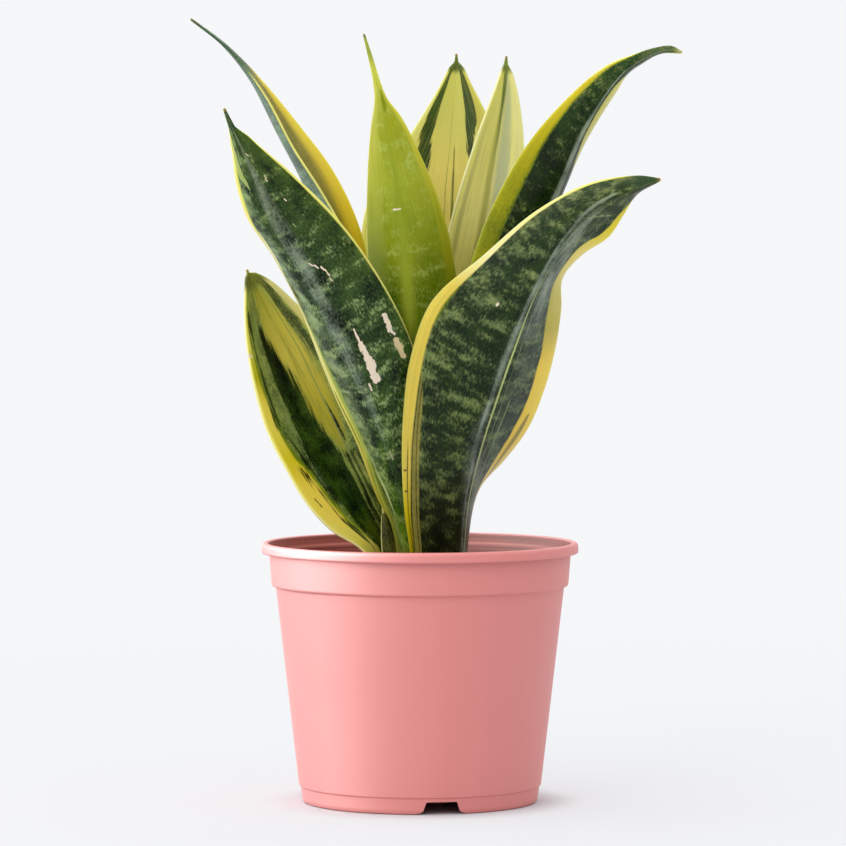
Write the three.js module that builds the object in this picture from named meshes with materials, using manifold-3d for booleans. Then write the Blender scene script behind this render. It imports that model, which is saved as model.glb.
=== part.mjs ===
// Potted snake plant: a variegated snake plant (Dracaena trifasciata) of eight leaves, in a
// 12 cm nursery pot moulded in pink plastic. The pot stands on z = 0 with its axis on +Z, the
// front of the plant looks along -Y, and all lengths are millimetres.
//
// Inside the pot lies the soil, which is one ball with the roots that it holds, and in the soil
// the rhizome, the stout underground stem that all leaves grow from. Each leaf is a solid of its
// own. It stands in its own hole in the soil, with its foot on the rhizome.
import * as THREE from 'three';
import { mergeVertices } from 'three/addons/utils/BufferGeometryUtils.js';
import Module from 'manifold-3d';

const wasm = await Module();
wasm.setup();

// ---- driving dimensions -------------------------------------------------------------------

const GAP = 0.3;                    // clearance between pieces that touch
const ROUND = 48;                   // facets round the pot

// pot, measured from the ground
const POT_HEIGHT = 98.5;
const WALL = 1.2;
const EDGE = 0.4;                   // size of the roundings on moulded edges
const RIM_RADIUS = 60;              // outside of the lip
const LIP_HEIGHT = 4.4;             // the lip is a flange turned down, hollow below
const LIP_WALL = 1.3;
const LIP_TOP = 1.6;                // thickness of the flange
const COLLAR_TOP_RADIUS = 57.1;     // collar: the wider ring under the lip
const COLLAR_BOTTOM_RADIUS = 56.2;
const COLLAR_BOTTOM = 82.4;
const TAPER_TOP_RADIUS = 54.6;      // straight wall below the collar
const TAPER_TOP = 81;
const TAPER_BOTTOM_RADIUS = 45.9;
const TAPER_BOTTOM = 6.2;
const FOOT_TOP_RADIUS = 45.4;       // foot: set in a little below the wall
const FOOT_RADIUS = 44.2;
const FOOT_WALL = 1.5;
const FLOOR_UNDERSIDE = 4.8;        // the floor is raised, so that water can leave
const FLOOR_TOP = 6.4;
const PAD_RADIUS = 14;              // disc in the middle of the floor that reaches the ground
const NOTCHES = 3;                  // water gates in the foot
const NOTCH_TURN = -79.5;           // degrees from +X to the middle of the front notch
const NOTCH_HEIGHT = 4.7;
const NOTCH_TOP_WIDTH = 11;
const NOTCH_BOTTOM_WIDTH = 19;
const NOTCH_CORNER = 1.6;
const DRAIN_HOLES = 6;
const DRAIN_RADIUS = 4;
const DRAIN_CIRCLE = 32;            // radius of the circle that the drain holes lie on

// soil and rhizome
const SOIL_EDGE = 80.6;             // height of the soil where it meets the wall
const SOIL_CROWN = 82.6;            // and round the plant
const SLOT_GAP = 0.4;               // clearance of a leaf in its slot in the soil
const RHIZOME_TOP = 65.7;
const RHIZOME_BOTTOM = 46;
const RHIZOME_RADIUS = 17;

// leaves
const FOOT_SPREAD = 0.8;            // size of a leaf's section at its foot, of that at rim height
const MARGIN_THICKNESS = 0.9;
const TIP_WIDTH = 0.8;
const ROWS = 24;                    // steps along a blade
const COLUMNS = 6;                  // and across it

// A blade is drawn by its three lines: the left margin, the rib and the right margin, as seen
// from the front. Each starts at rim height and goes up to the tip. `fold` is 1 for a sharp keel
// along the rib and 2 for a round channel, and `thick` is the thickness at the rib.
const LEAVES = [
  {
    name: 'leaf_front_right', color: 0x2f4a35, thick: 2.6, fold: 1.5,
    tip: [88.5, -46, 235],
    left: [[-2.3, -15, 95], [-4.8, -18, 110], [-6.6, -21, 130], [-6, -23.5, 149],
      [-3.5, -25.5, 168], [4.5, -28, 189.5], [24, -32, 207], [43, -36.5, 223], [62, -40, 233],
      [80, -44, 236]],
    rib: [[14.8, -11, 95], [16.5, -15, 115], [21, -20, 135], [27, -24.5, 153], [33.5, -29, 171],
      [41.5, -33.5, 191], [51.5, -37.5, 208], [66, -41, 223], [78, -44, 230.5]],
    right: [[16, 5, 95], [17.5, 5.5, 107], [21.5, 6, 119], [31, 5.5, 128.5], [40.5, 4.5, 141],
      [47, 2, 157], [51, -1, 173], [52.8, -6, 187], [53, -14, 198.5], [60.5, -23, 207.5],
      [70.5, -29, 214], [76.5, -34, 222], [81.5, -40, 230]],
  },
  {
    name: 'leaf_front_left', color: 0x2c4733, thick: 2.6, fold: 1.5,
    tip: [-72, -44.5, 261],
    left: [[-8.3, -5, 95], [-10.5, -5, 106], [-15.5, -3.5, 115], [-23.5, -2, 136], [-30.5, -3, 151],
      [-37, -6, 167], [-44.8, -12, 188], [-54, -21, 206], [-63.2, -28, 220], [-67.4, -33, 233],
      [-68.9, -38, 246]],
    rib: [[-4, -11, 95], [-9.5, -15.5, 121], [-16, -20, 142], [-25, -24, 162], [-35, -28.5, 183],
      [-45, -33, 202], [-56, -38, 222], [-65, -41.5, 243]],
    right: [[5, -9, 95], [6, -11.5, 115], [5, -14, 135], [2, -17, 155], [-3.5, -19.5, 174.5],
      [-10.5, -22.5, 190], [-20.5, -26, 206.5], [-32, -30, 221.5], [-47, -35, 236.5],
      [-63, -41.5, 250.5]],
  },
  {
    name: 'leaf_left', color: 0x4b5d2c, thick: 2.4, fold: 1.8,
    tip: [-66, 16, 201],
    left: [[-12, -3.8, 82], [-17.8, -3.5, 95], [-32.8, -3, 103], [-42.8, -2, 113],
      [-50.6, 0, 126], [-57.6, 2, 140], [-62.6, 4, 157], [-65.5, 7, 173], [-66.4, 11, 186]],
    rib: [[-15.5, 5, 95], [-24, 10, 109], [-34, 16, 126], [-43, 20, 143], [-51, 22.5, 161],
      [-59, 21.5, 181]],
    right: [[-6, 12, 95], [-12, 15, 118], [-19, 19, 140], [-28, 22, 160], [-38, 23, 178],
      [-48, 22, 188.5], [-57.5, 19, 197]],
  },
  {
    name: 'leaf_back_left', color: 0x51684f, thick: 2.2, fold: 1.3,
    tip: [-88, 34, 297],
    left: [[-12.5, 1, 95], [-15, 1.5, 125], [-17, 2, 155], [-20.5, 4, 188], [-27.5, 8, 213],
      [-37, 12, 230.5], [-48, 17, 247.5], [-59, 22, 267.5], [-72, 29, 284]],
    rib: [[-9.5, 5.5, 95], [-14, 10, 122], [-20, 15, 155], [-28, 19, 188], [-36, 22, 215],
      [-44.5, 24, 235], [-54.5, 27, 254], [-65, 30, 274], [-76, 33, 287.5]],
    right: [[-3, 8.5, 95], [-7, 13.5, 125], [-12, 18, 157], [-17.5, 22, 190], [-23, 26, 216.5],
      [-33, 30, 238], [-46, 33, 255.5], [-60.7, 35, 273.2], [-74.5, 35, 287]],
  },
  {
    name: 'leaf_centre', color: 0x9cad3c, thick: 2.4, fold: 1.8,
    tip: [-21, -12, 289.5],
    left: [[-8, 0, 95], [-11.5, -1, 125], [-15.5, -2.5, 155], [-18, -4, 185], [-19.5, -5, 212],
      [-19.3, -6.5, 236], [-18, -9, 254], [-16.4, -11, 265], [-17, -11.7, 271],
      [-19, -12, 280.5]],
    rib: [[-1.5, -6, 95], [-2, -10, 122], [-2.5, -13, 150], [-3, -14, 180], [-4.5, -14.5, 209],
      [-8, -14.2, 235], [-12, -13.3, 253], [-14.8, -12.3, 265], [-16.4, -12, 272.5],
      [-18.6, -12, 281]],
    right: [[6, -2.5, 95], [10, -3, 125], [13, -3.5, 155], [14.5, -4, 182], [12.3, -5, 206],
      [6.5, -6.5, 228], [-2.3, -8.5, 248.5], [-7.5, -10, 258.5], [-12.8, -11.5, 265.5],
      [-15, -12, 271], [-18.1, -12, 281]],
  },
  {
    name: 'leaf_back', color: 0xa9b357, thick: 2.2, fold: 1.8,
    tip: [14, 41, 284],
    left: [[-3, 12.5, 95], [-9, 17, 125], [-15, 22, 155], [-20, 26, 185], [-22.5, 29, 210],
      [-19, 32, 229], [-3, 37, 253.5], [8, 39.5, 271.5]],
    rib: [[3, 15, 95], [5.5, 23, 125], [8, 31, 155], [10.5, 37, 190], [12, 41, 222],
      [13, 42.5, 248], [14, 42, 270]],
    right: [[9, 13, 95], [19, 17, 125], [27, 22, 155], [33, 27, 185], [36, 30.5, 213],
      [33, 33.5, 240], [25.5, 37, 260], [19, 39.5, 273]],
  },
  {
    name: 'leaf_back_right', color: 0xc6c47c, thick: 2.2, fold: 1.6,
    tip: [33, 23.5, 282.5],
    left: [[-1.5, 5, 95], [1, 8, 125], [3.5, 11, 160], [7.5, 14, 195], [12.3, 17, 220.5],
      [21.3, 20, 249.5], [29.8, 22.7, 272.5]],
    rib: [[4.5, 8, 95], [8, 13, 125], [13, 18, 160], [19, 22, 195], [25, 25, 227],
      [29.5, 26, 253], [32, 25, 271]],
    right: [[8, 3, 95], [13, 8, 125], [19, 13, 155], [26, 16, 185], [34, 18.5, 215],
      [39.2, 20, 242], [38, 21.5, 262], [35.3, 23, 275]],
  },
  {
    name: 'leaf_right', color: 0x2b4a2a, thick: 2.6, fold: 1.5,
    tip: [98, -16, 282],
    left: [[8.5, -7, 95], [9.5, -8, 122], [11, -9, 152], [14.3, -10, 182], [20.5, -11, 207.5],
      [29.5, -12.5, 229.5], [41.5, -14, 249.7], [57, -15, 267], [72, -15.5, 277.8],
      [88, -16, 284.5]],
    rib: [[12.8, 1, 95], [18, 0.5, 125], [25, -2, 155], [33, -6, 183], [42, -9.5, 209],
      [52, -12.5, 232], [61, -14.5, 253.5], [74, -15.5, 271.5], [90, -16, 282]],
    right: [[10.5, 9, 95], [18, 12, 125], [25, 13, 155], [33, 12, 183], [43, 10, 211],
      [55, 6, 237], [66.5, 0, 257.5], [77, -7, 270.5], [90, -13.5, 280.3]],
  },
  {
    name: 'dry_sheath', color: 0xb59a66, thick: 0.9, fold: 1.8, rows: 8, columns: 2,
    tip: [-14, -8.3, 109.5],
    left: [[-13.9, -8.7, 95], [-14.4, -8.5, 102]],
    rib: [[-13.1, -9.5, 95], [-13.7, -9.1, 102]],
    right: [[-12.2, -8.9, 95], [-13, -8.6, 102]],
  },
];

// ---- solids ---------------------------------------------------------------------------------

function toManifold(geometry) {
  const bare = geometry.clone();
  bare.deleteAttribute('normal');
  bare.deleteAttribute('uv');
  const merged = mergeVertices(bare, 1e-4);
  const mesh = new wasm.Mesh({
    numProp: 3,
    vertProperties: new Float32Array(merged.attributes.position.array),
    triVerts: new Uint32Array(merged.index.array),
  });
  return new wasm.Manifold(mesh);
}

function toGeometry(solid) {
  const mesh = solid.getMesh();
  const geometry = new THREE.BufferGeometry();
  geometry.setAttribute('position', new THREE.BufferAttribute(mesh.vertProperties, 3));
  geometry.setIndex(new THREE.BufferAttribute(mesh.triVerts, 1));
  return geometry;
}

// A profile of [radius, height] points, turned about +Z. It runs counter-clockwise, with the
// axis on its left, so that the faces point out.
function turned(profile, facets) {
  const points = profile.map(([radius, height]) => new THREE.Vector2(radius, height));
  return new THREE.LatheGeometry(points, facets).rotateX(Math.PI / 2);
}

// ---- pot ------------------------------------------------------------------------------------

function innerRadius(height) {
  const share = (height - TAPER_BOTTOM) / (TAPER_TOP - TAPER_BOTTOM);
  return TAPER_BOTTOM_RADIUS + share * (TAPER_TOP_RADIUS - TAPER_BOTTOM_RADIUS) - WALL;
}

function potProfile() {
  const lipBottom = POT_HEIGHT - LIP_HEIGHT;
  const lipInside = RIM_RADIUS - LIP_WALL;
  const rimInside = COLLAR_TOP_RADIUS + EDGE / 2;
  const underside = [
    [0, 0],
    [PAD_RADIUS, 0],
    [PAD_RADIUS + 2 * EDGE, FLOOR_UNDERSIDE],
    [FOOT_TOP_RADIUS - FOOT_WALL, FLOOR_UNDERSIDE],
    [FOOT_RADIUS - FOOT_WALL, 0],
  ];
  const foot = [
    [FOOT_RADIUS - EDGE, 0],
    [FOOT_RADIUS + EDGE / 2, EDGE],
    [FOOT_RADIUS + 1.5 * EDGE, 4 * EDGE],
    [FOOT_TOP_RADIUS, TAPER_BOTTOM - EDGE],
  ];
  const outside = [
    [TAPER_BOTTOM_RADIUS, TAPER_BOTTOM],
    [TAPER_TOP_RADIUS, TAPER_TOP],
    [TAPER_TOP_RADIUS + EDGE, TAPER_TOP + 1.5 * EDGE],
    [COLLAR_BOTTOM_RADIUS - EDGE, COLLAR_BOTTOM - EDGE],
    [COLLAR_BOTTOM_RADIUS, COLLAR_BOTTOM + EDGE],
    [COLLAR_TOP_RADIUS, lipBottom],
  ];
  const lip = [
    [COLLAR_TOP_RADIUS, POT_HEIGHT - LIP_TOP],
    [lipInside, POT_HEIGHT - LIP_TOP],
    [lipInside, lipBottom],
    [RIM_RADIUS - EDGE, lipBottom],
    [RIM_RADIUS, lipBottom + EDGE],
    [RIM_RADIUS, POT_HEIGHT - 2 * EDGE],
    [RIM_RADIUS - 2 * EDGE, POT_HEIGHT],
    [rimInside + EDGE, POT_HEIGHT],
    [rimInside, POT_HEIGHT - EDGE],
  ];
  const inside = [
    [rimInside - 1.5 * EDGE, lipBottom + EDGE],
    [COLLAR_TOP_RADIUS - WALL, lipBottom],
    [COLLAR_BOTTOM_RADIUS - WALL, COLLAR_BOTTOM + 2 * EDGE],
    [innerRadius(TAPER_TOP), TAPER_TOP + EDGE],
    [innerRadius(FLOOR_TOP), FLOOR_TOP + WALL],
    [innerRadius(FLOOR_TOP) - WALL, FLOOR_TOP],
    [0, FLOOR_TOP],
  ];
  return [...underside, ...foot, ...outside, ...lip, ...inside];
}

// One water gate: a flared opening with round upper corners, cut through the foot.
function waterGate(turn) {
  const low = NOTCH_BOTTOM_WIDTH / 2;
  const high = NOTCH_TOP_WIDTH / 2;
  const shoulder = NOTCH_HEIGHT - NOTCH_CORNER;
  const outline = new THREE.Shape();
  outline.moveTo(-low, -EDGE);
  outline.lineTo(low, -EDGE);
  outline.lineTo(low, 0);
  outline.quadraticCurveTo(low - NOTCH_CORNER, EDGE, high + EDGE, shoulder);
  outline.quadraticCurveTo(high, NOTCH_HEIGHT, high - NOTCH_CORNER, NOTCH_HEIGHT);
  outline.lineTo(NOTCH_CORNER - high, NOTCH_HEIGHT);
  outline.quadraticCurveTo(-high, NOTCH_HEIGHT, -high - EDGE, shoulder);
  outline.quadraticCurveTo(NOTCH_CORNER - low, EDGE, -low, 0);
  outline.closePath();
  const depth = 8 * FOOT_WALL;
  const block = new THREE.ExtrudeGeometry(outline, { depth, bevelEnabled: false, curveSegments: 3 });
  block.rotateX(Math.PI / 2);
  block.translate(0, FOOT_RADIUS + depth / 2, 0);
  block.rotateZ(turn - Math.PI / 2);
  return toManifold(block);
}

function drainHole(turn) {
  const length = 5 * (FLOOR_TOP - FLOOR_UNDERSIDE);
  const hole = new THREE.CylinderGeometry(DRAIN_RADIUS, DRAIN_RADIUS, length, 16);
  hole.rotateX(Math.PI / 2);
  hole.translate(DRAIN_CIRCLE * Math.cos(turn), DRAIN_CIRCLE * Math.sin(turn), FLOOR_TOP);
  return toManifold(hole);
}

function potSolid() {
  const firstTurn = THREE.MathUtils.degToRad(NOTCH_TURN);
  let solid = toManifold(turned(potProfile(), ROUND));
  for (let i = 0; i < NOTCHES; i += 1) {
    solid = solid.subtract(waterGate(firstTurn + (i * 2 * Math.PI) / NOTCHES));
  }
  for (let i = 0; i < DRAIN_HOLES; i += 1) {
    solid = solid.subtract(drainHole(firstTurn + (i * 2 * Math.PI) / DRAIN_HOLES));
  }
  return solid;
}

// ---- leaves ---------------------------------------------------------------------------------

// One line of a blade, from its foot on the rhizome to the tip.
function leafLine(points, tip) {
  const [x, y] = points[0];
  const foot = new THREE.Vector3(x * FOOT_SPREAD, y * FOOT_SPREAD, RHIZOME_TOP + GAP);
  const above = [...points, tip].map((point) => new THREE.Vector3(...point));
  return new THREE.CatmullRomCurve3([foot, ...above], false, 'centripetal');
}

// A blade's mid surface: `along` runs from 0 at the foot to 1 at the tip, and `across` from -1 at
// the left margin to 1 at the right one. Between the three lines it is bent by the fold.
function bladeSurface(leaf, grow) {
  const left = leafLine(leaf.left, leaf.tip);
  const rib = leafLine(leaf.rib, leaf.tip);
  const right = leafLine(leaf.right, leaf.tip);
  return (along, across) => {
    const from = left.getPointAt(along);
    const to = right.getPointAt(along);
    const point = rib.getPointAt(along);
    const half = to.clone().sub(from).multiplyScalar(0.5);
    const depth = from.add(to).multiplyScalar(0.5).sub(point);
    point.addScaledVector(half, across);
    point.addScaledVector(depth, Math.abs(across) ** leaf.fold);
    const before = Math.min(along, 0.97);
    const widthwise = right.getPointAt(before).sub(left.getPointAt(before)).normalize();
    return point.addScaledVector(widthwise, across * (TIP_WIDTH / 2 + grow));
  };
}

// The thickness falls from the rib to the margins and from the foot to the tip.
function bladeThickness(leaf, along, across) {
  const rib = MARGIN_THICKNESS + (leaf.thick - MARGIN_THICKNESS) * (1 - along ** 3);
  return MARGIN_THICKNESS + (rib - MARGIN_THICKNESS) * (1 - across ** 2);
}

// Triangles of a closed sheet of two faces. Both are split alike, so that they never cross.
function sheetIndex(rows, columns) {
  const wide = columns + 1;
  const back = (rows + 1) * wide;
  const index = [];
  const quad = (a, b, c, d) => index.push(a, b, c, a, c, d);
  for (let row = 0; row < rows; row += 1) {
    for (let column = 0; column < columns; column += 1) {
      const a = row * wide + column;
      index.push(a, a + wide, a + 1, a + 1, a + wide, a + wide + 1);
      index.push(back + a, back + a + 1, back + a + wide);
      index.push(back + a + 1, back + a + wide + 1, back + a + wide);
    }
    const left = row * wide;
    const right = left + columns;
    quad(left, back + left, back + left + wide, left + wide);
    quad(right, right + wide, back + right + wide, back + right);
  }
  const last = rows * wide;
  for (let column = 0; column < columns; column += 1) {
    quad(column, column + 1, back + column + 1, back + column);
    quad(last + column, back + last + column, back + last + column + 1, last + column + 1);
  }
  return index;
}

// The closed blade: the mid surface moved out to both sides by half the thickness. Its rows lie
// closer together towards the tip. `grow` widens it on all sides and sinks its foot, which gives
// the slot that it stands in.
function bladeGeometry(leaf, grow = 0) {
  const { rows = ROWS, columns = COLUMNS } = leaf;
  const surface = bladeSurface(leaf, grow);
  const reach = 0.004;
  const front = [];
  const back = [];
  for (let row = 0; row <= rows; row += 1) {
    const along = 1 - (1 - row / rows) ** 1.4;
    const sink = row === 0 ? 2 * grow : 0;
    for (let column = 0; column <= columns; column += 1) {
      const across = (2 * column) / columns - 1;
      const up = surface(Math.min(along + reach, 1), across);
      up.sub(surface(Math.max(along - reach, 0), across)).normalize();
      const side = surface(along, across + reach).sub(surface(along, across - reach));
      const normal = up.clone().cross(side).normalize();
      const half = bladeThickness(leaf, along, across) / 2 + grow;
      const point = surface(along, across).addScaledVector(up, -sink);
      front.push(...point.clone().addScaledVector(normal, half));
      back.push(...point.addScaledVector(normal, -half));
    }
  }
  const geometry = new THREE.BufferGeometry();
  geometry.setAttribute('position', new THREE.Float32BufferAttribute([...front, ...back], 3));
  geometry.setIndex(sheetIndex(rows, columns));
  return geometry;
}

// ---- rhizome and soil -------------------------------------------------------------------------

function rhizomeProfile(grow) {
  const widest = RHIZOME_RADIUS + grow;
  return [
    [0, RHIZOME_BOTTOM - grow],
    [widest - 6.5, RHIZOME_BOTTOM + 1.5 - grow],
    [widest - 1.5, RHIZOME_BOTTOM + 7],
    [widest, RHIZOME_BOTTOM + 14],
    [widest - 0.8, RHIZOME_TOP + grow],
    [0, RHIZOME_TOP + grow],
  ];
}

// The soil fills the pot up to the stacking step. The narrow crumbs that the slots cut loose
// between two leaves are left out, so that it stays one solid.
function soilSolid() {
  const profile = [
    [0, FLOOR_TOP + GAP],
    [innerRadius(FLOOR_TOP) - WALL, FLOOR_TOP + GAP],
    [innerRadius(FLOOR_TOP) - GAP, FLOOR_TOP + GAP + WALL],
    [innerRadius(SOIL_EDGE) - GAP, SOIL_EDGE],
    [38, SOIL_EDGE + 0.6],
    [24, SOIL_CROWN - 0.3],
    [0, SOIL_CROWN],
  ];
  let solid = toManifold(turned(profile, ROUND / 2));
  solid = solid.subtract(toManifold(turned(rhizomeProfile(2 * GAP), ROUND / 2)));
  for (const leaf of LEAVES) {
    solid = solid.subtract(toManifold(bladeGeometry(leaf, SLOT_GAP)));
  }
  const [largest] = solid.decompose().sort((a, b) => b.volume() - a.volume());
  return largest;
}

// ---- assembly ---------------------------------------------------------------------------------

const plant = new THREE.Group();

function addPiece(name, geometry, color, roughness) {
  const material = new THREE.MeshStandardMaterial({ color, roughness, metalness: 0 });
  const mesh = new THREE.Mesh(geometry, material);
  mesh.name = name;
  plant.add(mesh);
}

addPiece('pot', toGeometry(potSolid()), 0xe8968f, 0.5);
addPiece('soil', toGeometry(soilSolid()), 0x3a2a20, 1);
addPiece('rhizome', turned(rhizomeProfile(0), ROUND / 2), 0xc9a66b, 0.8);
for (const leaf of LEAVES) {
  addPiece(leaf.name, bladeGeometry(leaf), leaf.color, 0.45);
}

export default plant;
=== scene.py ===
import math
import random

import bpy
import numpy as np
from mathutils import Euler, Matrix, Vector, noise


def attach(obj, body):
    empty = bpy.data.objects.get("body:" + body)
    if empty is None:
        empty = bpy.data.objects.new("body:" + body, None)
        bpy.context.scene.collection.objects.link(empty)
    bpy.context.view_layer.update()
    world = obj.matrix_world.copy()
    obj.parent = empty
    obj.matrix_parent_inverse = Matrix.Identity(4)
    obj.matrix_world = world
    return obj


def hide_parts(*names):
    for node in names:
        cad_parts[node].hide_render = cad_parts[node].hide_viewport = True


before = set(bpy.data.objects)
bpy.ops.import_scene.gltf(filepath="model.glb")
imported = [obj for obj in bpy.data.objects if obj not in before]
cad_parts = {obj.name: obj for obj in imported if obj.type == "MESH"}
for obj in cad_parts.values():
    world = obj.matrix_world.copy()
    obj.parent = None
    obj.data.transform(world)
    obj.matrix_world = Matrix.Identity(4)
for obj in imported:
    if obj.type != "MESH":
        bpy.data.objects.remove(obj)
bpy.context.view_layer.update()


# ---- the photographer's camera ----------------------------------------------------------------
# A long lens almost level with the plant, 1.8 m away and a little above the pot's rim. The plant
# fills the square frame from the floor to just under the upper edge.

eye = Vector((0.00114, -1.8, 0.2205))
aim = Vector((0.00114, 0.0, 0.1432))
bpy.ops.object.camera_add(location=eye)
camera = bpy.context.object
camera.rotation_euler = (aim - eye).to_track_quat("-Z", "Y").to_euler()
camera.data.sensor_width = 36.0
camera.data.lens = 202.7
camera.data.clip_end = 60.0
bpy.context.scene.camera = camera


# ---- the studio ---------------------------------------------------------------------------------
# A seamless white table that runs out into a white room. One large soft box stands at the front
# left and the white room fills in the rest. A second one at the left lights only glossy pieces.

backdrop_white = (0.920, 0.928, 0.945)
bpy.context.scene.view_settings.view_transform = "Standard"


def feed(tree, socket, value):
    """Links the socket to another node's output, or sets it to a plain value."""
    if isinstance(value, bpy.types.NodeSocket):
        tree.links.new(value, socket)
    else:
        socket.default_value = value


def add_node(tree, kind, **inputs):
    """A node of that kind. Each keyword feeds the input of that name, with _ for a space."""
    node = tree.nodes.new("ShaderNode" + kind)
    for name, value in inputs.items():
        numbered = name[1:].isdigit()
        feed(tree, node.inputs[int(name[1:]) if numbered else name.replace("_", " ")], value)
    return node


def compute(tree, operation, *values):
    """The result of a Math node that works on these values."""
    node = tree.nodes.new("ShaderNodeMath")
    node.operation = operation
    for socket, value in zip(node.inputs, values):
        feed(tree, socket, value)
    return node.outputs[0]


def smooth_step(tree, value, low, high):
    """0 below the low value and 1 above the high one, with a soft passage between them."""
    step = add_node(tree, "MapRange", Value=value, From_Min=low, From_Max=high)
    step.interpolation_type = "SMOOTHSTEP"
    return step.outputs["Result"]


def new_finish(name):
    """A new material with its node tree and its shader."""
    finish = bpy.data.materials.new(name)
    finish.use_nodes = True
    return finish, finish.node_tree, finish.node_tree.nodes["Principled BSDF"]


def light_room():
    """What the lights and reflections see of the room: bright to the left and above, dim below."""
    world = bpy.data.worlds.new("white_room")
    bpy.context.scene.world = world
    world.use_nodes = True
    tree = world.node_tree
    tree.nodes.clear()
    direction = add_node(tree, "TexCoord").outputs["Generated"]
    axes = add_node(tree, "SeparateXYZ", Vector=direction)
    ray = add_node(tree, "LightPath")
    side = add_node(tree, "MapRange", Value=ray.outputs["Is Diffuse Ray"], To_Min=1.3, To_Max=0.45)
    left = add_node(tree, "MapRange", Value=axes.outputs["X"], From_Min=0.3, From_Max=-1.0,
                    To_Min=0.0, To_Max=side.outputs["Result"])
    behind = add_node(tree, "MapRange", Value=axes.outputs["Y"], From_Min=0.0, From_Max=1.0,
                      To_Min=0.65, To_Max=1.02)
    left.interpolation_type = behind.interpolation_type = "SMOOTHSTEP"
    above = add_node(tree, "MapRange", Value=axes.outputs["Z"], From_Min=0.2, From_Max=1.0,
                     To_Min=0.0, To_Max=0.9)
    above.interpolation_type = "SMOOTHSTEP"
    strength = compute(tree, "ADD", left.outputs["Result"], behind.outputs["Result"])
    strength = compute(tree, "ADD", strength, above.outputs["Result"])
    fill = add_node(tree, "Background", Color=(0.965, 0.98, 1.0, 1.0), Strength=strength)
    seen = add_node(tree, "Background", Color=(*backdrop_white, 1.0), Strength=1.0)
    mix = add_node(tree, "MixShader", _0=ray.outputs["Is Camera Ray"], _1=fill.outputs[0],
                   _2=seen.outputs[0])
    add_node(tree, "OutputWorld", Surface=mix.outputs[0])


def add_softbox(name, place, target, side, power):
    """A square lamp of that side in metres and that power in watts, turned to the target."""
    bpy.ops.object.light_add(type="AREA", location=place)
    lamp = bpy.context.object
    lamp.name = name
    lamp.data.shape = "SQUARE"
    lamp.data.size = side
    lamp.data.energy = power
    lamp.rotation_euler = (Vector(target) - lamp.location).to_track_quat("-Z", "Y").to_euler()


def add_table():
    """The white table. Far from the plant it glows like the room behind it, so no edge shows."""
    bpy.ops.object.select_all(action="DESELECT")
    bpy.ops.mesh.primitive_circle_add(vertices=64, radius=9.0, fill_type="NGON",
                                      location=(0, 0, -0.0002))
    table = bpy.context.object
    table.name = "white_table"
    finish, tree, _ = new_finish("white_table")
    tree.nodes.clear()
    place = add_node(tree, "TexCoord").outputs["Object"]
    distance = add_node(tree, "VectorMath", _0=place)
    distance.operation = "LENGTH"
    far = add_node(tree, "MapRange", Value=distance.outputs["Value"], From_Min=0.25, From_Max=1.1)
    far.interpolation_type = "SMOOTHSTEP"
    share = add_node(tree, "MapRange", Value=far.outputs["Result"], To_Min=0.55, To_Max=1.0)
    clear = smooth_step(tree, distance.outputs["Value"], 0.0455, 0.064)
    share = add_node(tree, "MapRange", Value=clear, To_Max=share.outputs["Result"])
    near = add_node(tree, "BsdfDiffuse", Color=(0.60, 0.605, 0.62, 1.0))
    glow = add_node(tree, "Emission", Color=(*backdrop_white, 1.0), Strength=1.0)
    mix = add_node(tree, "MixShader", _0=share.outputs["Result"], _1=near.outputs[0],
                   _2=glow.outputs[0])
    add_node(tree, "OutputMaterial", Surface=mix.outputs[0])
    table.data.materials.append(finish)


light_room()
add_softbox("key_softbox", (-1.12, -1.66, 1.25), (0.0, 0.0, 0.12), 1.1, 10.4)
add_softbox("gloss_softbox", (-1.95, -0.15, 0.55), (0.0, 0.0, 0.12), 2.6, 370.0)
bpy.context.object.visible_diffuse = False
glossy_pieces = bpy.data.collections.new("glossy_pieces")
bpy.context.object.light_linking.receiver_collection = glossy_pieces
add_table()


# ---- the pot ------------------------------------------------------------------------------------
# A 12 cm nursery pot, moulded in one shot from satin pink polypropylene. It has a turned-down lip,
# a wider collar that stops pots from jamming in each other, and a raised floor with water gates.

mm = 0.001


def pick(*pieces):
    """Selects these pieces alone. The last one is the active one."""
    bpy.ops.object.select_all(action="DESELECT")
    for piece in pieces:
        piece.select_set(True)
        bpy.context.view_layer.objects.active = piece


def to_metres(points):
    """A profile that is written in millimetres, in metres."""
    return [(radius * mm, height * mm) for radius, height in points]


def turned_shell(name, profile, sides):
    """A turned body: a circle that is pulled out ring by ring along (radius, height) points."""
    bpy.ops.object.select_all(action="DESELECT")
    radius, height = profile[0]
    bpy.ops.mesh.primitive_circle_add(vertices=sides, radius=radius, fill_type="NGON",
                                      location=(0, 0, height))
    shell = bpy.context.object
    shell.name = name
    bpy.ops.object.mode_set(mode="EDIT")
    bpy.ops.mesh.select_all(action="SELECT")
    bpy.ops.mesh.delete(type="ONLY_FACE")
    bpy.ops.mesh.select_all(action="SELECT")
    for (radius, height), (wider, higher) in zip(profile, profile[1:]):
        bpy.ops.mesh.extrude_region_move(TRANSFORM_OT_translate={"value": (0, 0, higher - height)})
        bpy.ops.transform.resize(value=(wider / radius, wider / radius, 1),
                                 center_override=(0, 0, higher))
    bpy.ops.mesh.edge_face_add()
    bpy.ops.mesh.poke()
    bpy.ops.mesh.select_all(action="DESELECT")
    bpy.ops.mesh.select_mode(type="EDGE")
    bpy.ops.mesh.select_non_manifold()
    bpy.ops.mesh.edge_face_add()
    bpy.ops.mesh.poke()
    bpy.ops.mesh.select_all(action="SELECT")
    bpy.ops.mesh.normals_make_consistent(inside=False)
    bpy.ops.object.mode_set(mode="OBJECT")
    bpy.ops.object.transform_apply(location=True, rotation=True, scale=True)
    return shell


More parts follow.
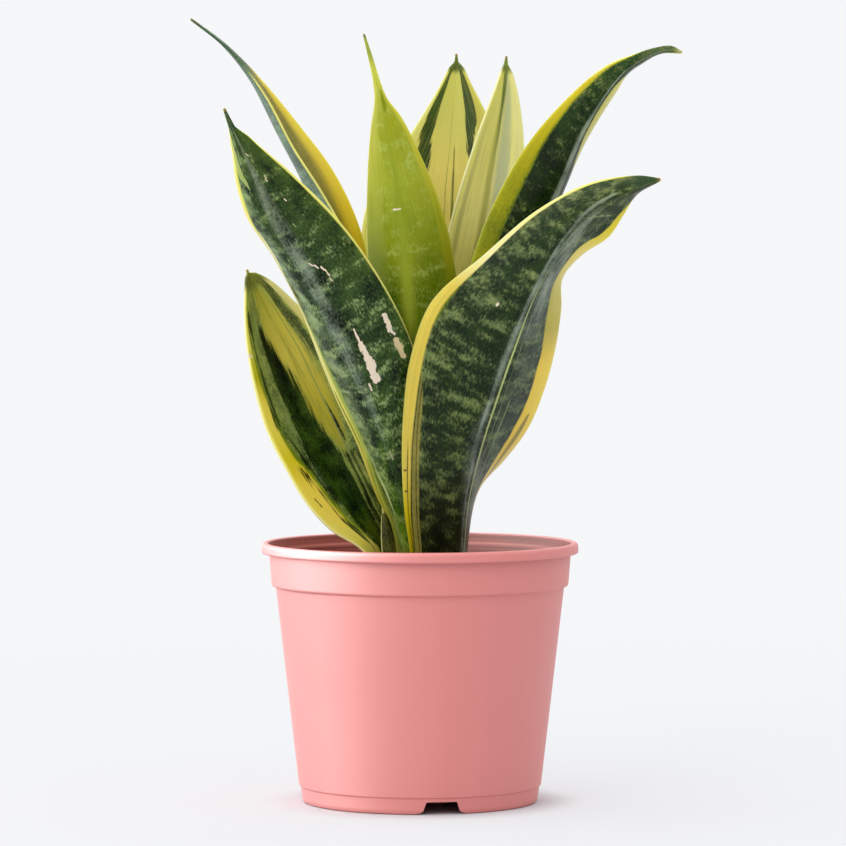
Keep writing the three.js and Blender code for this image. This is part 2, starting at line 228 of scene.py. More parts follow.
def soften(profile, bend, steps=4):
    """The profile with each corner rounded, starting at most that far from the corner."""
    softened = [profile[0]]
    for before, corner, after in zip(profile, profile[1:], profile[2:]):
        before, corner, after = (Vector(point) for point in (before, corner, after))
        back, on = before - corner, after - corner
        reach = min(bend, back.length * 0.45, on.length * 0.45)
        start, end = corner + back.normalized() * reach, corner + on.normalized() * reach
        for step in range(steps + 1):
            t = step / steps
            softened.append(tuple((1 - t) ** 2 * start + 2 * t * (1 - t) * corner + t * t * end))
    softened.append(profile[-1])
    return softened


def pot_profile():
    """From the middle of the underside, out and up the wall, over the lip and down inside."""
    points = [(0.5, 0.0), (14.0, 0.0), (14.8, 4.8), (43.9, 4.8), (42.7, 0.0), (44.2, 0.0),
              (44.7, 1.4), (45.3, 5.9), (45.9, 6.25), (54.6, 81.5), (55.9, 81.8), (56.2, 82.4),
              (57.1, 94.1), (57.1, 96.4), (58.5, 96.4), (58.9, 94.2), (59.6, 94.1), (60.0, 94.6),
              (59.9, 97.0), (59.5, 97.8), (58.8, 98.1), (57.7, 98.0), (57.0, 97.3), (56.6, 94.6),
              (55.9, 93.8), (55.1, 83.2), (53.4, 81.2), (44.7, 7.6), (43.5, 6.4), (0.5, 6.4)]
    return soften(to_metres(points), 0.4 * mm)


def cut_out(body, cutter):
    """Takes the cutter's shape out of the body, and the cutter away."""
    pick(body)
    modifier = body.modifiers.new("cut", "BOOLEAN")
    modifier.operation = "DIFFERENCE"
    modifier.solver = "EXACT"
    modifier.object = cutter
    bpy.ops.object.modifier_apply(modifier="cut")
    bpy.data.objects.remove(cutter)


def water_gate(turn):
    """A block that narrows upwards ring by ring, which cuts one gate through the foot."""
    rings = [(10.4, -0.5), (10.4, 0.0), (9.2, 0.15), (8.2, 0.4), (7.4, 0.8), (6.9, 1.3),
             (5.9, 4.3), (5.5, 4.6)]
    (half, height), middle = rings[0], 44.3 * mm
    bpy.ops.object.select_all(action="DESELECT")
    bpy.ops.mesh.primitive_plane_add(size=1, location=(middle, 0, height * mm))
    gate = bpy.context.object
    gate.scale = (12.0 * mm, 2 * half * mm, 1)
    bpy.ops.object.transform_apply(location=True, rotation=False, scale=True)
    bpy.ops.object.mode_set(mode="EDIT")
    bpy.ops.mesh.select_all(action="SELECT")
    for (half, height), (narrower, higher) in zip(rings, rings[1:]):
        bpy.ops.mesh.extrude_region_move(
            TRANSFORM_OT_translate={"value": (0, 0, (higher - height) * mm)})
        bpy.ops.transform.resize(value=(1, narrower / half, 1),
                                 center_override=(middle, 0, higher * mm))
    bpy.ops.mesh.select_all(action="SELECT")
    bpy.ops.mesh.normals_make_consistent(inside=False)
    bpy.ops.object.mode_set(mode="OBJECT")
    gate.rotation_euler.z = turn
    bpy.ops.object.transform_apply(location=False, rotation=True, scale=False)
    return gate


def drain_hole(turn):
    """A round peg that cuts one hole through the raised floor."""
    off_axis = 32.0 * mm
    bpy.ops.object.select_all(action="DESELECT")
    bpy.ops.mesh.primitive_cylinder_add(
        vertices=40, radius=4.0 * mm, depth=8.0 * mm,
        location=(off_axis * math.cos(turn), off_axis * math.sin(turn), 6.4 * mm))
    bpy.ops.object.transform_apply(location=True, rotation=True, scale=True)
    return bpy.context.object


def smooth_over(piece, degrees):
    """Smooth shading across all edges that turn by less than that angle."""
    pick(piece)
    bpy.ops.object.shade_smooth_by_angle(angle=math.radians(degrees))


def pot_plastic():
    """Satin pink plastic with flow marks and a fine grain. Inside it is dull, and painted darker red-brown
    with ring streaks as shade.
    """
    finish, tree, shader = new_finish("pot_plastic")
    place = add_node(tree, "TexCoord").outputs["Object"]
    axes = add_node(tree, "SeparateXYZ", Vector=place).outputs
    flow_place = add_node(tree, "Mapping", Vector=place, Scale=(1.0, 1.0, 0.12))
    flow = add_node(tree, "TexNoise", Vector=flow_place.outputs[0], Scale=70.0, Detail=4.0)
    cloud = add_node(tree, "TexNoise", Vector=place, Scale=26.0, Detail=3.0)
    pores = add_node(tree, "TexNoise", Vector=place, Scale=2600.0, Detail=2.0)
    tone = add_node(tree, "MixRGB", Fac=flow.outputs["Fac"], Color1=(0.650, 0.190, 0.172, 1.0),
                    Color2=(0.690, 0.212, 0.194, 1.0))
    tone = add_node(tree, "MixRGB", Fac=cloud.outputs["Fac"], Color1=tone.outputs[0],
                    Color2=(0.672, 0.201, 0.183, 1.0))
    # Painted shade: the inside wall is painted dark red-brown, streaked in rings, as the shade inside the
    # pot.
    ring_place = add_node(tree, "Mapping", Vector=place, Scale=(6.0, 6.0, 900.0))
    rings = add_node(tree, "TexNoise", Vector=ring_place.outputs[0], Scale=1.0, Detail=3.0)
    painted_inside_shade = add_node(tree, "MixRGB", Fac=smooth_step(tree, rings.outputs["Fac"], 0.35, 0.65),
                     Color1=(0.310, 0.056, 0.040, 1.0), Color2=(0.560, 0.135, 0.108, 1.0))
    around = add_node(tree, "VectorMath", _0=add_node(tree, "CombineXYZ", X=axes["X"],
                                                     Y=axes["Y"]).outputs[0])
    around.operation = "LENGTH"
    low_wall = add_node(tree, "MapRange", Value=axes["Z"], From_Min=0.0064, From_Max=0.081,
                        To_Min=0.0453, To_Max=0.0540)
    high_wall = add_node(tree, "MapRange", Value=axes["Z"], From_Min=0.083, From_Max=0.094,
                         To_Min=0.0556, To_Max=0.0564)
    lip_wall = add_node(tree, "MapRange", Value=axes["Z"], From_Min=0.0942, From_Max=0.0950,
                        To_Min=0.0, To_Max=0.0011)
    middle = add_node(tree, "MapRange", Value=smooth_step(tree, axes["Z"], 0.0818, 0.0822),
                      To_Min=low_wall.outputs[0], To_Max=high_wall.outputs[0])
    depth = compute(tree, "SUBTRACT", middle.outputs[0], around.outputs["Value"])
    depth = compute(tree, "ADD", depth, lip_wall.outputs[0])
    inside = compute(tree, "MULTIPLY", smooth_step(tree, depth, -0.0001, 0.0003),
                     smooth_step(tree, axes["Z"], 0.0060, 0.0066))
    colour = add_node(tree, "MixRGB", Fac=inside, Color1=tone.outputs[0], Color2=painted_inside_shade.outputs[0])
    feed(tree, shader.inputs["Base Color"], colour.outputs[0])
    rough = add_node(tree, "MapRange", Value=cloud.outputs["Fac"], From_Min=0.3, From_Max=0.7,
                     To_Min=0.47, To_Max=0.53)
    rough = add_node(tree, "MixRGB", Fac=inside, Color1=rough.outputs[0],
                     Color2=(0.85, 0.85, 0.85, 1.0))
    feed(tree, shader.inputs["Roughness"], rough.outputs[0])
    shader.inputs["Specular IOR Level"].default_value = 0.9
    bump = add_node(tree, "Bump", Height=pores.outputs["Fac"], Strength=0.12, Distance=0.0002)
    feed(tree, shader.inputs["Normal"], bump.outputs[0])
    return finish


def build_pot():
    """The moulded shell with three water gates through its foot and six drain holes."""
    pot = turned_shell("nursery_pot", pot_profile(), 192)
    first_gate = math.radians(-79.5)
    for gate in range(3):
        cut_out(pot, water_gate(first_gate + gate * math.tau / 3))
    for hole in range(6):
        cut_out(pot, drain_hole(first_gate + hole * math.tau / 6))
    smooth_over(pot, 32)
    pot.data.materials.clear()
    pot.data.materials.append(pot_plastic())
    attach(pot, "root")
    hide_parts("pot")
    glossy_pieces.objects.link(pot)


build_pot()


# ---- the leaves -----------------------------------------------------------------------------------
# Eight thick, stiff leaves of a variegated snake plant, in one rosette. Each grows up from the
# rhizome, folded along its rib, and ends in a dry spike. The skin is waxy and striped lengthwise.

foot_height = 66.0
foot_spread = 0.8
margin_thickness = 0.9
tip_width = 0.8

leaf_forms = {
    "leaf_front_right": {
        "thick": 2.6, "fold": 1.5, "tip": (88.5, -46, 235),
        "left": [(-3.6, -15, 95), (-5.6, -18, 110), (-6.6, -21, 130), (-6, -23.5, 149),
                 (-3.5, -25.5, 168), (4.5, -28, 189.5), (24, -32, 207), (43, -36.5, 223),
                 (62, -40, 233), (80, -44, 236)],
        "rib": [(14.8, -11, 95), (16.5, -15, 115), (21, -20, 135), (27, -24.5, 153),
                (33.5, -29, 171), (41.5, -33.5, 191), (51.5, -37.5, 208), (66, -41, 223),
                (78, -44, 230.5)],
        "right": [(16, 5, 95), (17.5, 5.5, 107), (21.5, 6, 119), (31, 5.5, 128.5),
                  (40.5, 4.5, 141), (47, 2, 157), (51, -1, 173), (52.8, -6, 187), (53, -14, 198.5),
                  (60.3, -23, 207.5), (69.8, -29, 214), (75.0, -34, 222), (79.9, -40, 230)]},
    "leaf_front_left": {
        "thick": 2.6, "fold": 1.5, "spike": (7.7, 0.50), "tip": (-72, -44.5, 261),
        "left": [(-8.3, -5, 95), (-10.5, -5, 106), (-15.5, -3.5, 115), (-23.5, -2, 136),
                 (-30.5, -3, 151), (-37, -6, 167), (-44.8, -12, 188), (-54, -21, 206),
                 (-63.2, -28, 220), (-67.4, -33, 233), (-68.9, -38, 246)],
        "rib": [(-4, -11, 95), (-9.5, -15.5, 121), (-16, -20, 142), (-25, -24, 162),
                (-35, -28.5, 183), (-45, -33, 202), (-56, -38, 222), (-65, -41.5, 243)],
        "right": [(5, -9, 95), (6, -11.5, 115), (5, -14, 135), (2, -17, 155), (-3.5, -19.5, 174.5),
                  (-10.5, -22.5, 190), (-20.5, -26, 206.5), (-32, -30, 221.5), (-47, -35, 236.5),
                  (-63, -41.5, 250.5)]},
    "leaf_left": {
        "thick": 2.4, "fold": 1.8, "spike": (1.6, 1.2), "tip": (-66, 16, 201),
        "left": [(-15, -3.8, 84), (-21.3, -3.5, 95), (-33.6, -3, 103), (-42.8, -2, 113),
                 (-50.6, 0, 126), (-57.6, 2, 140), (-62.6, 4, 157), (-65.5, 7, 173),
                 (-66.4, 11, 186)],
        "rib": [(-15.5, 5, 95), (-24, 10, 109), (-34, 16, 126), (-43, 20, 143), (-51, 22.5, 161),
                (-59, 21.5, 181)],
        "right": [(-6, 12, 95), (-12, 15, 118), (-19, 19, 140), (-28, 22, 160), (-38, 23, 178),
                  (-48, 22, 188.5), (-57.5, 19, 197)]},
    "leaf_back_left": {
        "thick": 2.2, "fold": 1.3, "tip": (-88, 34, 297),
        "left": [(-12.5, 1, 95), (-15, 1.5, 125), (-17, 2, 155), (-20.5, 4, 188), (-27.5, 8, 213),
                 (-37, 12, 230.5), (-48, 17, 247.5), (-59, 22, 267.5), (-72, 29, 284)],
        "rib": [(-9.5, 5.5, 95), (-14, 10, 122), (-20, 15, 155), (-28, 19, 188), (-36, 22, 215),
                (-44.5, 24, 235), (-54.5, 27, 254), (-65, 30, 274), (-76, 33, 287.5)],
        "right": [(-3, 8.5, 95), (-7, 13.5, 125), (-12, 18, 157), (-17.5, 22, 190),
                  (-23, 26, 216.5), (-33, 30, 238), (-46, 33, 255.5), (-60.7, 35, 273.2),
                  (-74.5, 35, 287)]},
    "leaf_centre": {
        "thick": 2.4, "fold": 1.8, "tip": (-21, -12, 289.5),
        "left": [(-8, 0, 95), (-11.5, -1, 125), (-15.5, -2.5, 155), (-18, -4, 185),
                 (-19.5, -5, 212), (-19.3, -6.5, 236), (-18, -9, 254), (-16.4, -11, 265),
                 (-17, -11.7, 271), (-19, -12, 280.5)],
        "rib": [(-1.5, -6, 95), (-2, -10, 122), (-2.5, -13, 150), (-3, -14, 180),
                (-4.5, -14.5, 209), (-8, -14.2, 235), (-12, -13.3, 253), (-14.8, -12.3, 265),
                (-16.4, -12, 272.5), (-18.6, -12, 281)],
        "right": [(6, -2.5, 95), (10, -3, 125), (13, -3.5, 155), (14.5, -4, 182), (12.3, -5, 206),
                  (6.5, -6.5, 228), (-2.3, -8.5, 248.5), (-7.5, -10, 258.5), (-12.8, -11.5, 265.5),
                  (-15, -12, 271), (-18.1, -12, 281)]},
    "leaf_back": {
        "thick": 2.2, "fold": 1.8, "spike": (3.2, 0.8), "tip": (14, 41, 284),
        "left": [(-3, 12.5, 95), (-9, 17, 125), (-15, 22, 155), (-20, 26, 185), (-22.5, 29, 210),
                 (-19, 32, 229), (-3, 37, 253.5), (8, 39.5, 271.5)],
        "rib": [(3, 15, 95), (5.5, 23, 125), (8, 31, 155), (10.5, 37, 190), (12, 41, 222),
                (13, 42.5, 248), (14, 42, 270)],
        "right": [(9, 13, 95), (19, 17, 125), (27, 22, 155), (33, 27, 185), (36, 30.5, 213),
                  (33, 33.5, 240), (25.5, 37, 260), (19, 39.5, 273)]},
    "leaf_back_right": {
        "thick": 2.2, "fold": 1.6, "spike": (3.2, 0.45), "tip": (33, 23.5, 282.5),
        "left": [(-1.5, 5, 95), (1, 8, 125), (3.5, 11, 160), (7.5, 14, 195), (12.3, 17, 220.5),
                 (21.3, 20, 249.5), (29.8, 22.7, 272.5)],
        "rib": [(4.5, 8, 95), (8, 13, 125), (13, 18, 160), (19, 22, 195), (25, 25, 227),
                (29.5, 26, 253), (32, 25, 271)],
        "right": [(8, 3, 95), (13, 8, 125), (19, 13, 155), (26, 16, 185), (34, 18.5, 215),
                  (39.2, 20, 242), (38, 21.5, 262), (35.3, 23, 275)]},
    "leaf_right": {
        "thick": 2.6, "fold": 1.5, "tip": (98, -16, 282.6),
        "left": [(8.5, -7, 95), (9.5, -8, 122), (11, -9, 152), (14.3, -10, 182),
                 (20.5, -11, 207.5), (29.5, -12.5, 229.5), (41.5, -14, 249.7), (57, -15, 267),
                 (70, -15.5, 277.6), (79, -15.8, 281.2), (88, -16, 284.0), (94, -16, 284.6)],
        "rib": [(12.8, 1, 95), (18, 0.5, 125), (25, -2, 155), (33, -6, 183), (42, -9.5, 209),
                (52, -12.5, 232), (61, -14.5, 253.5), (74, -15.5, 272.8), (80, -16, 278),
                (86, -16.2, 281.4), (93, -16.2, 283.4)],
        "right": [(10.5, 9, 95), (18, 12, 125), (25, 13, 155), (33, 12, 183), (43, 10, 211),
                  (55, 6, 237), (66.5, 0, 257.5), (74, -5, 269.3), (77.5, -8, 275),
                  (83, -11.5, 279.0), (90, -14.5, 282.7)]},
    "dry_sheath": {
        "thick": 0.9, "fold": 1.8, "tip": (-14, -8.3, 109.5),
        "left": [(-13.9, -8.7, 95), (-14.2, -8.5, 102)],
        "rib": [(-11.8, -9.6, 95), (-12.7, -9.2, 102)],
        "right": [(-9.7, -8.6, 95), (-11.3, -8.5, 102)]},
}


def blade_line(points, tip):
    """A smooth line from the foot on the rhizome to the tip, read by the share of its length."""
    foot = (points[0][0] * foot_spread, points[0][1] * foot_spread, foot_height)
    path = np.array([foot, *points, tip], float)
    path = np.vstack([2 * path[0] - path[1], path, 2 * path[-1] - path[-2]])
    t = np.linspace(0, 1, 60)[:, None]
    walk = []
    for before, start, end, after in zip(path, path[1:], path[2:], path[3:]):
        a, b, c = (np.linalg.norm(step) ** 0.5 for step in (start - before, end - start, after - end))
        leave = ((start - before) / a - (end - before) / (a + b) + (end - start) / b) * b
        reach = ((end - start) / b - (after - start) / (b + c) + (after - end) / c) * b
        bend = 3 * (end - start) - 2 * leave - reach
        swing = 2 * (start - end) + leave + reach
        walk.append(start + leave * t + bend * t ** 2 + swing * t ** 3)
    walk = np.vstack(walk)
    length = np.concatenate([[0], np.cumsum(np.linalg.norm(np.diff(walk, axis=0), axis=1))])

    def at(share):
        return np.stack([np.interp(share * length[-1], length, walk[:, axis]) for axis in range(3)], 1)

    return at, length[-1]


def blade_points(form, along, across, growth=0.0):
    """The middle of the blade's thickness, for arrays of places along and across it."""
    (left, _), (rib, _), (right, _) = (blade_line(form[part], form["tip"])
                                       for part in ("left", "rib", "right"))
    start, ridge, end = left(along), rib(along), right(along)
    before_tip = np.minimum(along, 0.97)
    wide = right(before_tip) - left(before_tip)
    wide /= np.linalg.norm(wide, axis=1, keepdims=True)
    if "spike" in form:
        spike_length, slope = form["spike"]
        spike_slope = 0.09
        half = np.maximum(np.linalg.norm(end - start, axis=1), 0.01) / 2
        from_tip = (1 - along) * blade_line(form["rib"], form["tip"])[1]
        below = np.maximum(from_tip - spike_length, 0)
        taper = from_tip - below
        pinch = np.minimum(1, (spike_slope * taper + slope * below) / half)[:, None]
        start, end = ridge + (start - ridge) * pinch, ridge + (end - ridge) * pinch
    across = across[:, None]
    points = ridge + (end - start) / 2 * across
    points += ((start + end) / 2 - ridge) * np.abs(across) ** form["fold"]
    return points + wide * across * (tip_width + growth) / 2


def leaf_blade(name, form, columns=26, rows=150, growth=0.0):
    """A flat grid that is laid on the blade's surface, then given its thickness and growth."""
    bpy.ops.object.select_all(action="DESELECT")
    bpy.ops.mesh.primitive_grid_add(x_subdivisions=columns, y_subdivisions=rows, size=2)
    blade = bpy.context.object
    blade.name = name
    mesh = blade.data
    flat = np.array([vertex.co for vertex in mesh.vertices])
    across = flat[:, 0]
    crowding_at_tip = 1.4
    along = 1 - np.clip(1 - (flat[:, 1] + 1) / 2, 0, 1) ** crowding_at_tip
    points = blade_points(form, along, across, growth) * mm
    mesh.vertices.foreach_set("co", points.ravel())
    corner = np.zeros(len(mesh.loops), int)
    mesh.loops.foreach_get("vertex_index", corner)
    spread = np.stack([(across + 1) / 2, along], 1)
    mesh.uv_layers[0].name = "blade"
    mesh.uv_layers[0].data.foreach_set("uv", spread[corner].ravel())
    body = form["thick"] - margin_thickness
    thickest = form["thick"] + growth
    thickness = margin_thickness + growth + body * (1 - along ** 3) * (1 - across ** 2)
    group = blade.vertex_groups.new(name="thickness")
    for vertex, share in enumerate(thickness / thickest):
        group.add([vertex], float(share), "REPLACE")
    mesh.update()
    solidify = blade.modifiers.new("thickness", "SOLIDIFY")
    solidify.thickness = thickest * mm
    solidify.offset = 0
    solidify.vertex_group = "thickness"
    solidify.use_quality_normals = True
    rounding = blade.modifiers.new("rounding", "SUBSURF")
    rounding.levels = 1
    rounding.render_levels = 1
    bpy.ops.object.modifier_apply(modifier="thickness")
    bpy.ops.object.modifier_apply(modifier="rounding")
    bpy.ops.object.shade_smooth()
    return blade


def grain(tree, place, size, detail=3.0):
    """Noise between 0 and 1. The size is that of its spots, in the units of the place."""
    stretched = add_node(tree, "VectorMath", _0=place, _1=tuple(1 / length for length in size))
    stretched.operation = "MULTIPLY"
    return add_node(tree, "TexNoise", Vector=stretched.outputs[0], Scale=1.0,
                    Detail=detail).outputs["Fac"]


def start_group(name, **inputs):
    """A new node group. Each keyword names an input, with _ for a space, and gives its value."""
    group = bpy.data.node_groups.new(name, "ShaderNodeTree")
    for label, value in inputs.items():
        kind = "NodeSocketVector" if isinstance(value, tuple) else "NodeSocketFloat"
        socket = group.interface.new_socket(label.replace("_", " "), in_out="INPUT",
                                            socket_type=kind)
        socket.default_value = value
    return group, group.nodes.new("NodeGroupInput").outputs


def end_group(group, **outputs):
    """Names what the group puts out."""
    kinds = {"VALUE": "NodeSocketFloat", "VECTOR": "NodeSocketVector", "RGBA": "NodeSocketColor"}
    end = group.nodes.new("NodeGroupOutput")
    for label, value in outputs.items():
        group.interface.new_socket(label, in_out="OUTPUT", socket_type=kinds[value.type])
        group.links.new(value, end.inputs[label])
    return group


def use_group(tree, group, **inputs):
    """Places the group in a material. Each keyword feeds an input, with _ for a space."""
    node = tree.nodes.new("ShaderNodeGroup")
    node.node_tree = group
    for name, value in inputs.items():
        feed(tree, node.inputs[name.replace("_", " ")], value)
    return node.outputs


def make_leaf_place():
    """Turns the leaf's own map into millimetres, and gives the streaks that run along a leaf."""
    group, given = start_group("leaf_place", Spread=(0.0, 0.0, 0.0), Width=45.0, Length=220.0,
                               Seed=0.0)
    share = add_node(group, "SeparateXYZ", Vector=given["Spread"]).outputs
    place = add_node(group, "CombineXYZ", Z=given["Seed"],
                     X=compute(group, "MULTIPLY", share["X"], given["Width"]),
                     Y=compute(group, "MULTIPLY", share["Y"], given["Length"])).outputs[0]
    slow = grain(group, place, (5.0, 34.0, 1.0), 2.0)
    quick = grain(group, place, (0.8, 11.0, 1.0), 3.0)
    jitter = compute(group, "SUBTRACT", compute(group, "ADD", slow, quick), 1.0)
    cloud = grain(group, place, (7.0, 11.0, 1.0), 4.0)
    blotch = compute(group, "ADD", compute(group, "MULTIPLY", cloud, 1.2),
                     grain(group, place, (0.6, 1.3, 1.0), 4.0))
    mottle = add_node(group, "MapRange", Value=blotch, From_Min=0.8, From_Max=1.4)
    flat = add_node(group, "CombineXYZ", X=compute(group, "MULTIPLY", share["X"], given["Width"]),
                    Y=compute(group, "MULTIPLY", share["Y"], given["Length"])).outputs[0]
    rough = compute(group, "SUBTRACT", grain(group, place, (1.1, 2.4, 1.0), 3.0), 0.5)
    return end_group(group, Place=place, Across=share["X"], Along=share["Y"], Jitter=jitter,
                     Flat=flat, Rough=rough,
                     Streak=grain(group, place, (0.45, 24.0, 1.0), 3.0), Cloud=cloud,
                     Mottle=mottle.outputs["Result"])


def make_leaf_stripe():
    """A stripe along the leaf between two edges, which waver as much as Ragged says."""
    group, given = start_group("leaf_stripe", Across=0.5, Jitter=0.0, Left=0.0, Right=1.0,
                               Softness=0.01, Ragged=0.0)
    across = compute(group, "MULTIPLY_ADD", given["Jitter"], given["Ragged"], given["Across"])
    sides = []
    for edge in ("Left", "Right"):
        sides.append(smooth_step(group, across,
                                 compute(group, "SUBTRACT", given[edge], given["Softness"]),
                                 compute(group, "ADD", given[edge], given["Softness"])))
    inside = compute(group, "MULTIPLY", sides[0], compute(group, "SUBTRACT", 1.0, sides[1]))
    return end_group(group, Mask=inside)


def make_leaf_bands():
    """Cross bands of a snake plant: short pale dashes that crowd together at even heights."""
    group, given = start_group("leaf_bands", Place=(0.0, 0.0, 0.0), Across=0.5, Along=0.5,
                               Count=30.0, Rise=0.0, Tilt=0.0, Lean=0.0, Amount=0.5,
                               Banding=0.1)
    warp = grain(group, given["Place"], (11.0, 6.0, 1.0), 2.0)
    patch = grain(group, given["Place"], (10.0, 4.4, 1.0), 2.0)
    dash = grain(group, given["Place"], (0.45, 1.7, 1.0), 2.0)
    crumb = grain(group, given["Place"], (1.2, 1.6, 1.0), 3.0)
    from_rib = compute(group, "SUBTRACT", given["Across"], 0.5)
    beside = compute(group, "ABSOLUTE", from_rib)
    height = compute(group, "SUBTRACT", given["Along"],
                     compute(group, "MULTIPLY", beside, given["Rise"]))
    height = compute(group, "SUBTRACT", height, compute(group, "MULTIPLY", from_rib, given["Tilt"]))
    turn = compute(group, "MULTIPLY", height, given["Count"])
    turn = compute(group, "MULTIPLY_ADD", warp, 1.5, turn)
    wave = compute(group, "COSINE", compute(group, "MULTIPLY", turn, math.tau))
    crowd = compute(group, "MULTIPLY_ADD", wave, given["Banding"], given["Amount"])
    crowd = compute(group, "SUBTRACT", crowd, compute(group, "MULTIPLY", from_rib, given["Lean"]))
    for speckle, share in ((patch, 1.45), (dash, 0.85), (crumb, 0.8)):
        above = compute(group, "SUBTRACT", speckle, 0.5)
        crowd = compute(group, "MULTIPLY_ADD", above, share, crowd)
    crowd = compute(group, "MULTIPLY_ADD", smooth_step(group, beside, 0.16, 0.03), -0.10, crowd)
    return end_group(group, Flecks=smooth_step(group, crowd, 0.36, 0.92))


def make_leaf_scar():
    """A ragged spot or scratch between two places in millimetres, with that half width."""
    group, given = start_group("leaf_scar", Flat=(0.0, 0.0, 0.0), Start=(0.0, 0.0, 0.0),
                               End=(0.0, 0.0, 0.0), Reach=1.0, Rough=0.0)

    def vector(operation, *values):
        node = add_node(group, "VectorMath", **{f"_{i}": value for i, value in enumerate(values)})
        node.operation = operation
        return node.outputs["Value" if operation in ("DOT_PRODUCT", "LENGTH") else "Vector"]

    away = vector("SUBTRACT", given["Flat"], given["Start"])
    run = vector("SUBTRACT", given["End"], given["Start"])
    share = compute(group, "DIVIDE", vector("DOT_PRODUCT", away, run),
                    compute(group, "ADD", vector("DOT_PRODUCT", run, run), 0.0001))
    share = compute(group, "MINIMUM", compute(group, "MAXIMUM", share, 0.0), 1.0)
    nearest = add_node(group, "VectorMath", _0=run)
    nearest.operation = "SCALE"
    feed(group, nearest.inputs["Scale"], share)
    distance = vector("LENGTH", vector("SUBTRACT", away, nearest.outputs["Vector"]))
    distance = compute(group, "MULTIPLY_ADD", given["Rough"],
                       compute(group, "MULTIPLY", given["Reach"], 2.6), distance)
    edge = compute(group, "MULTIPLY", given["Reach"], 0.75)
    outside = smooth_step(group, distance, edge, given["Reach"])
    return end_group(group, Mask=compute(group, "SUBTRACT", 1.0, outside))


leaf_place = make_leaf_place()
leaf_stripe = make_leaf_stripe()
leaf_bands = make_leaf_bands()
leaf_scar = make_leaf_scar()


def paint(red, green, blue):
    """The linear colour of a screen colour with levels from 0 to 255."""
    return (*(((level / 255 + 0.055) / 1.055) ** 2.4 for level in (red, green, blue)), 1.0)


def edge_line(tree, along, edge):
    """Where an edge lies across the leaf: one share of the width, or (height, share) points."""
    if not isinstance(edge, list):
        return edge
    node = add_node(tree, "FloatCurve", Value=along)
    node.mapping.extend = "HORIZONTAL"
    line = node.mapping.curves[0]
    for _ in edge[2:]:
        line.points.new(0.5, 0.5)
    for point, place in zip(line.points, sorted(edge)):
        point.location = place
        point.handle_type = "AUTO_CLAMPED"
    node.mapping.update()
    return node.outputs[0]


def colour_line(tree, along, colour):
    """One colour, or a passage through (height, colour) stops along the leaf."""
    if not isinstance(colour, list):
        return colour
    node = add_node(tree, "ValToRGB", Fac=along)
    stops = node.color_ramp.elements
    for _ in colour[2:]:
        stops.new(0.5)
    for stop, (height, tint) in zip(stops, sorted(colour)):
        stop.position = height
        stop.color = tint
    return node.outputs["Color"]


def cover(tree, mask, under, over):
    """The second colour over the first, where the mask is."""
    return add_node(tree, "MixRGB", Fac=mask, Color1=under, Color2=over).outputs[0]


golden = paint(212, 186, 79)
lemon = paint(224, 212, 112)
cork = paint(222, 206, 188)
dead_brown = paint(112, 88, 60)
# The pale grey-green of the painted sheen, a painted highlight where the ribs catch the light.
sheen_grey = paint(172, 184, 168)
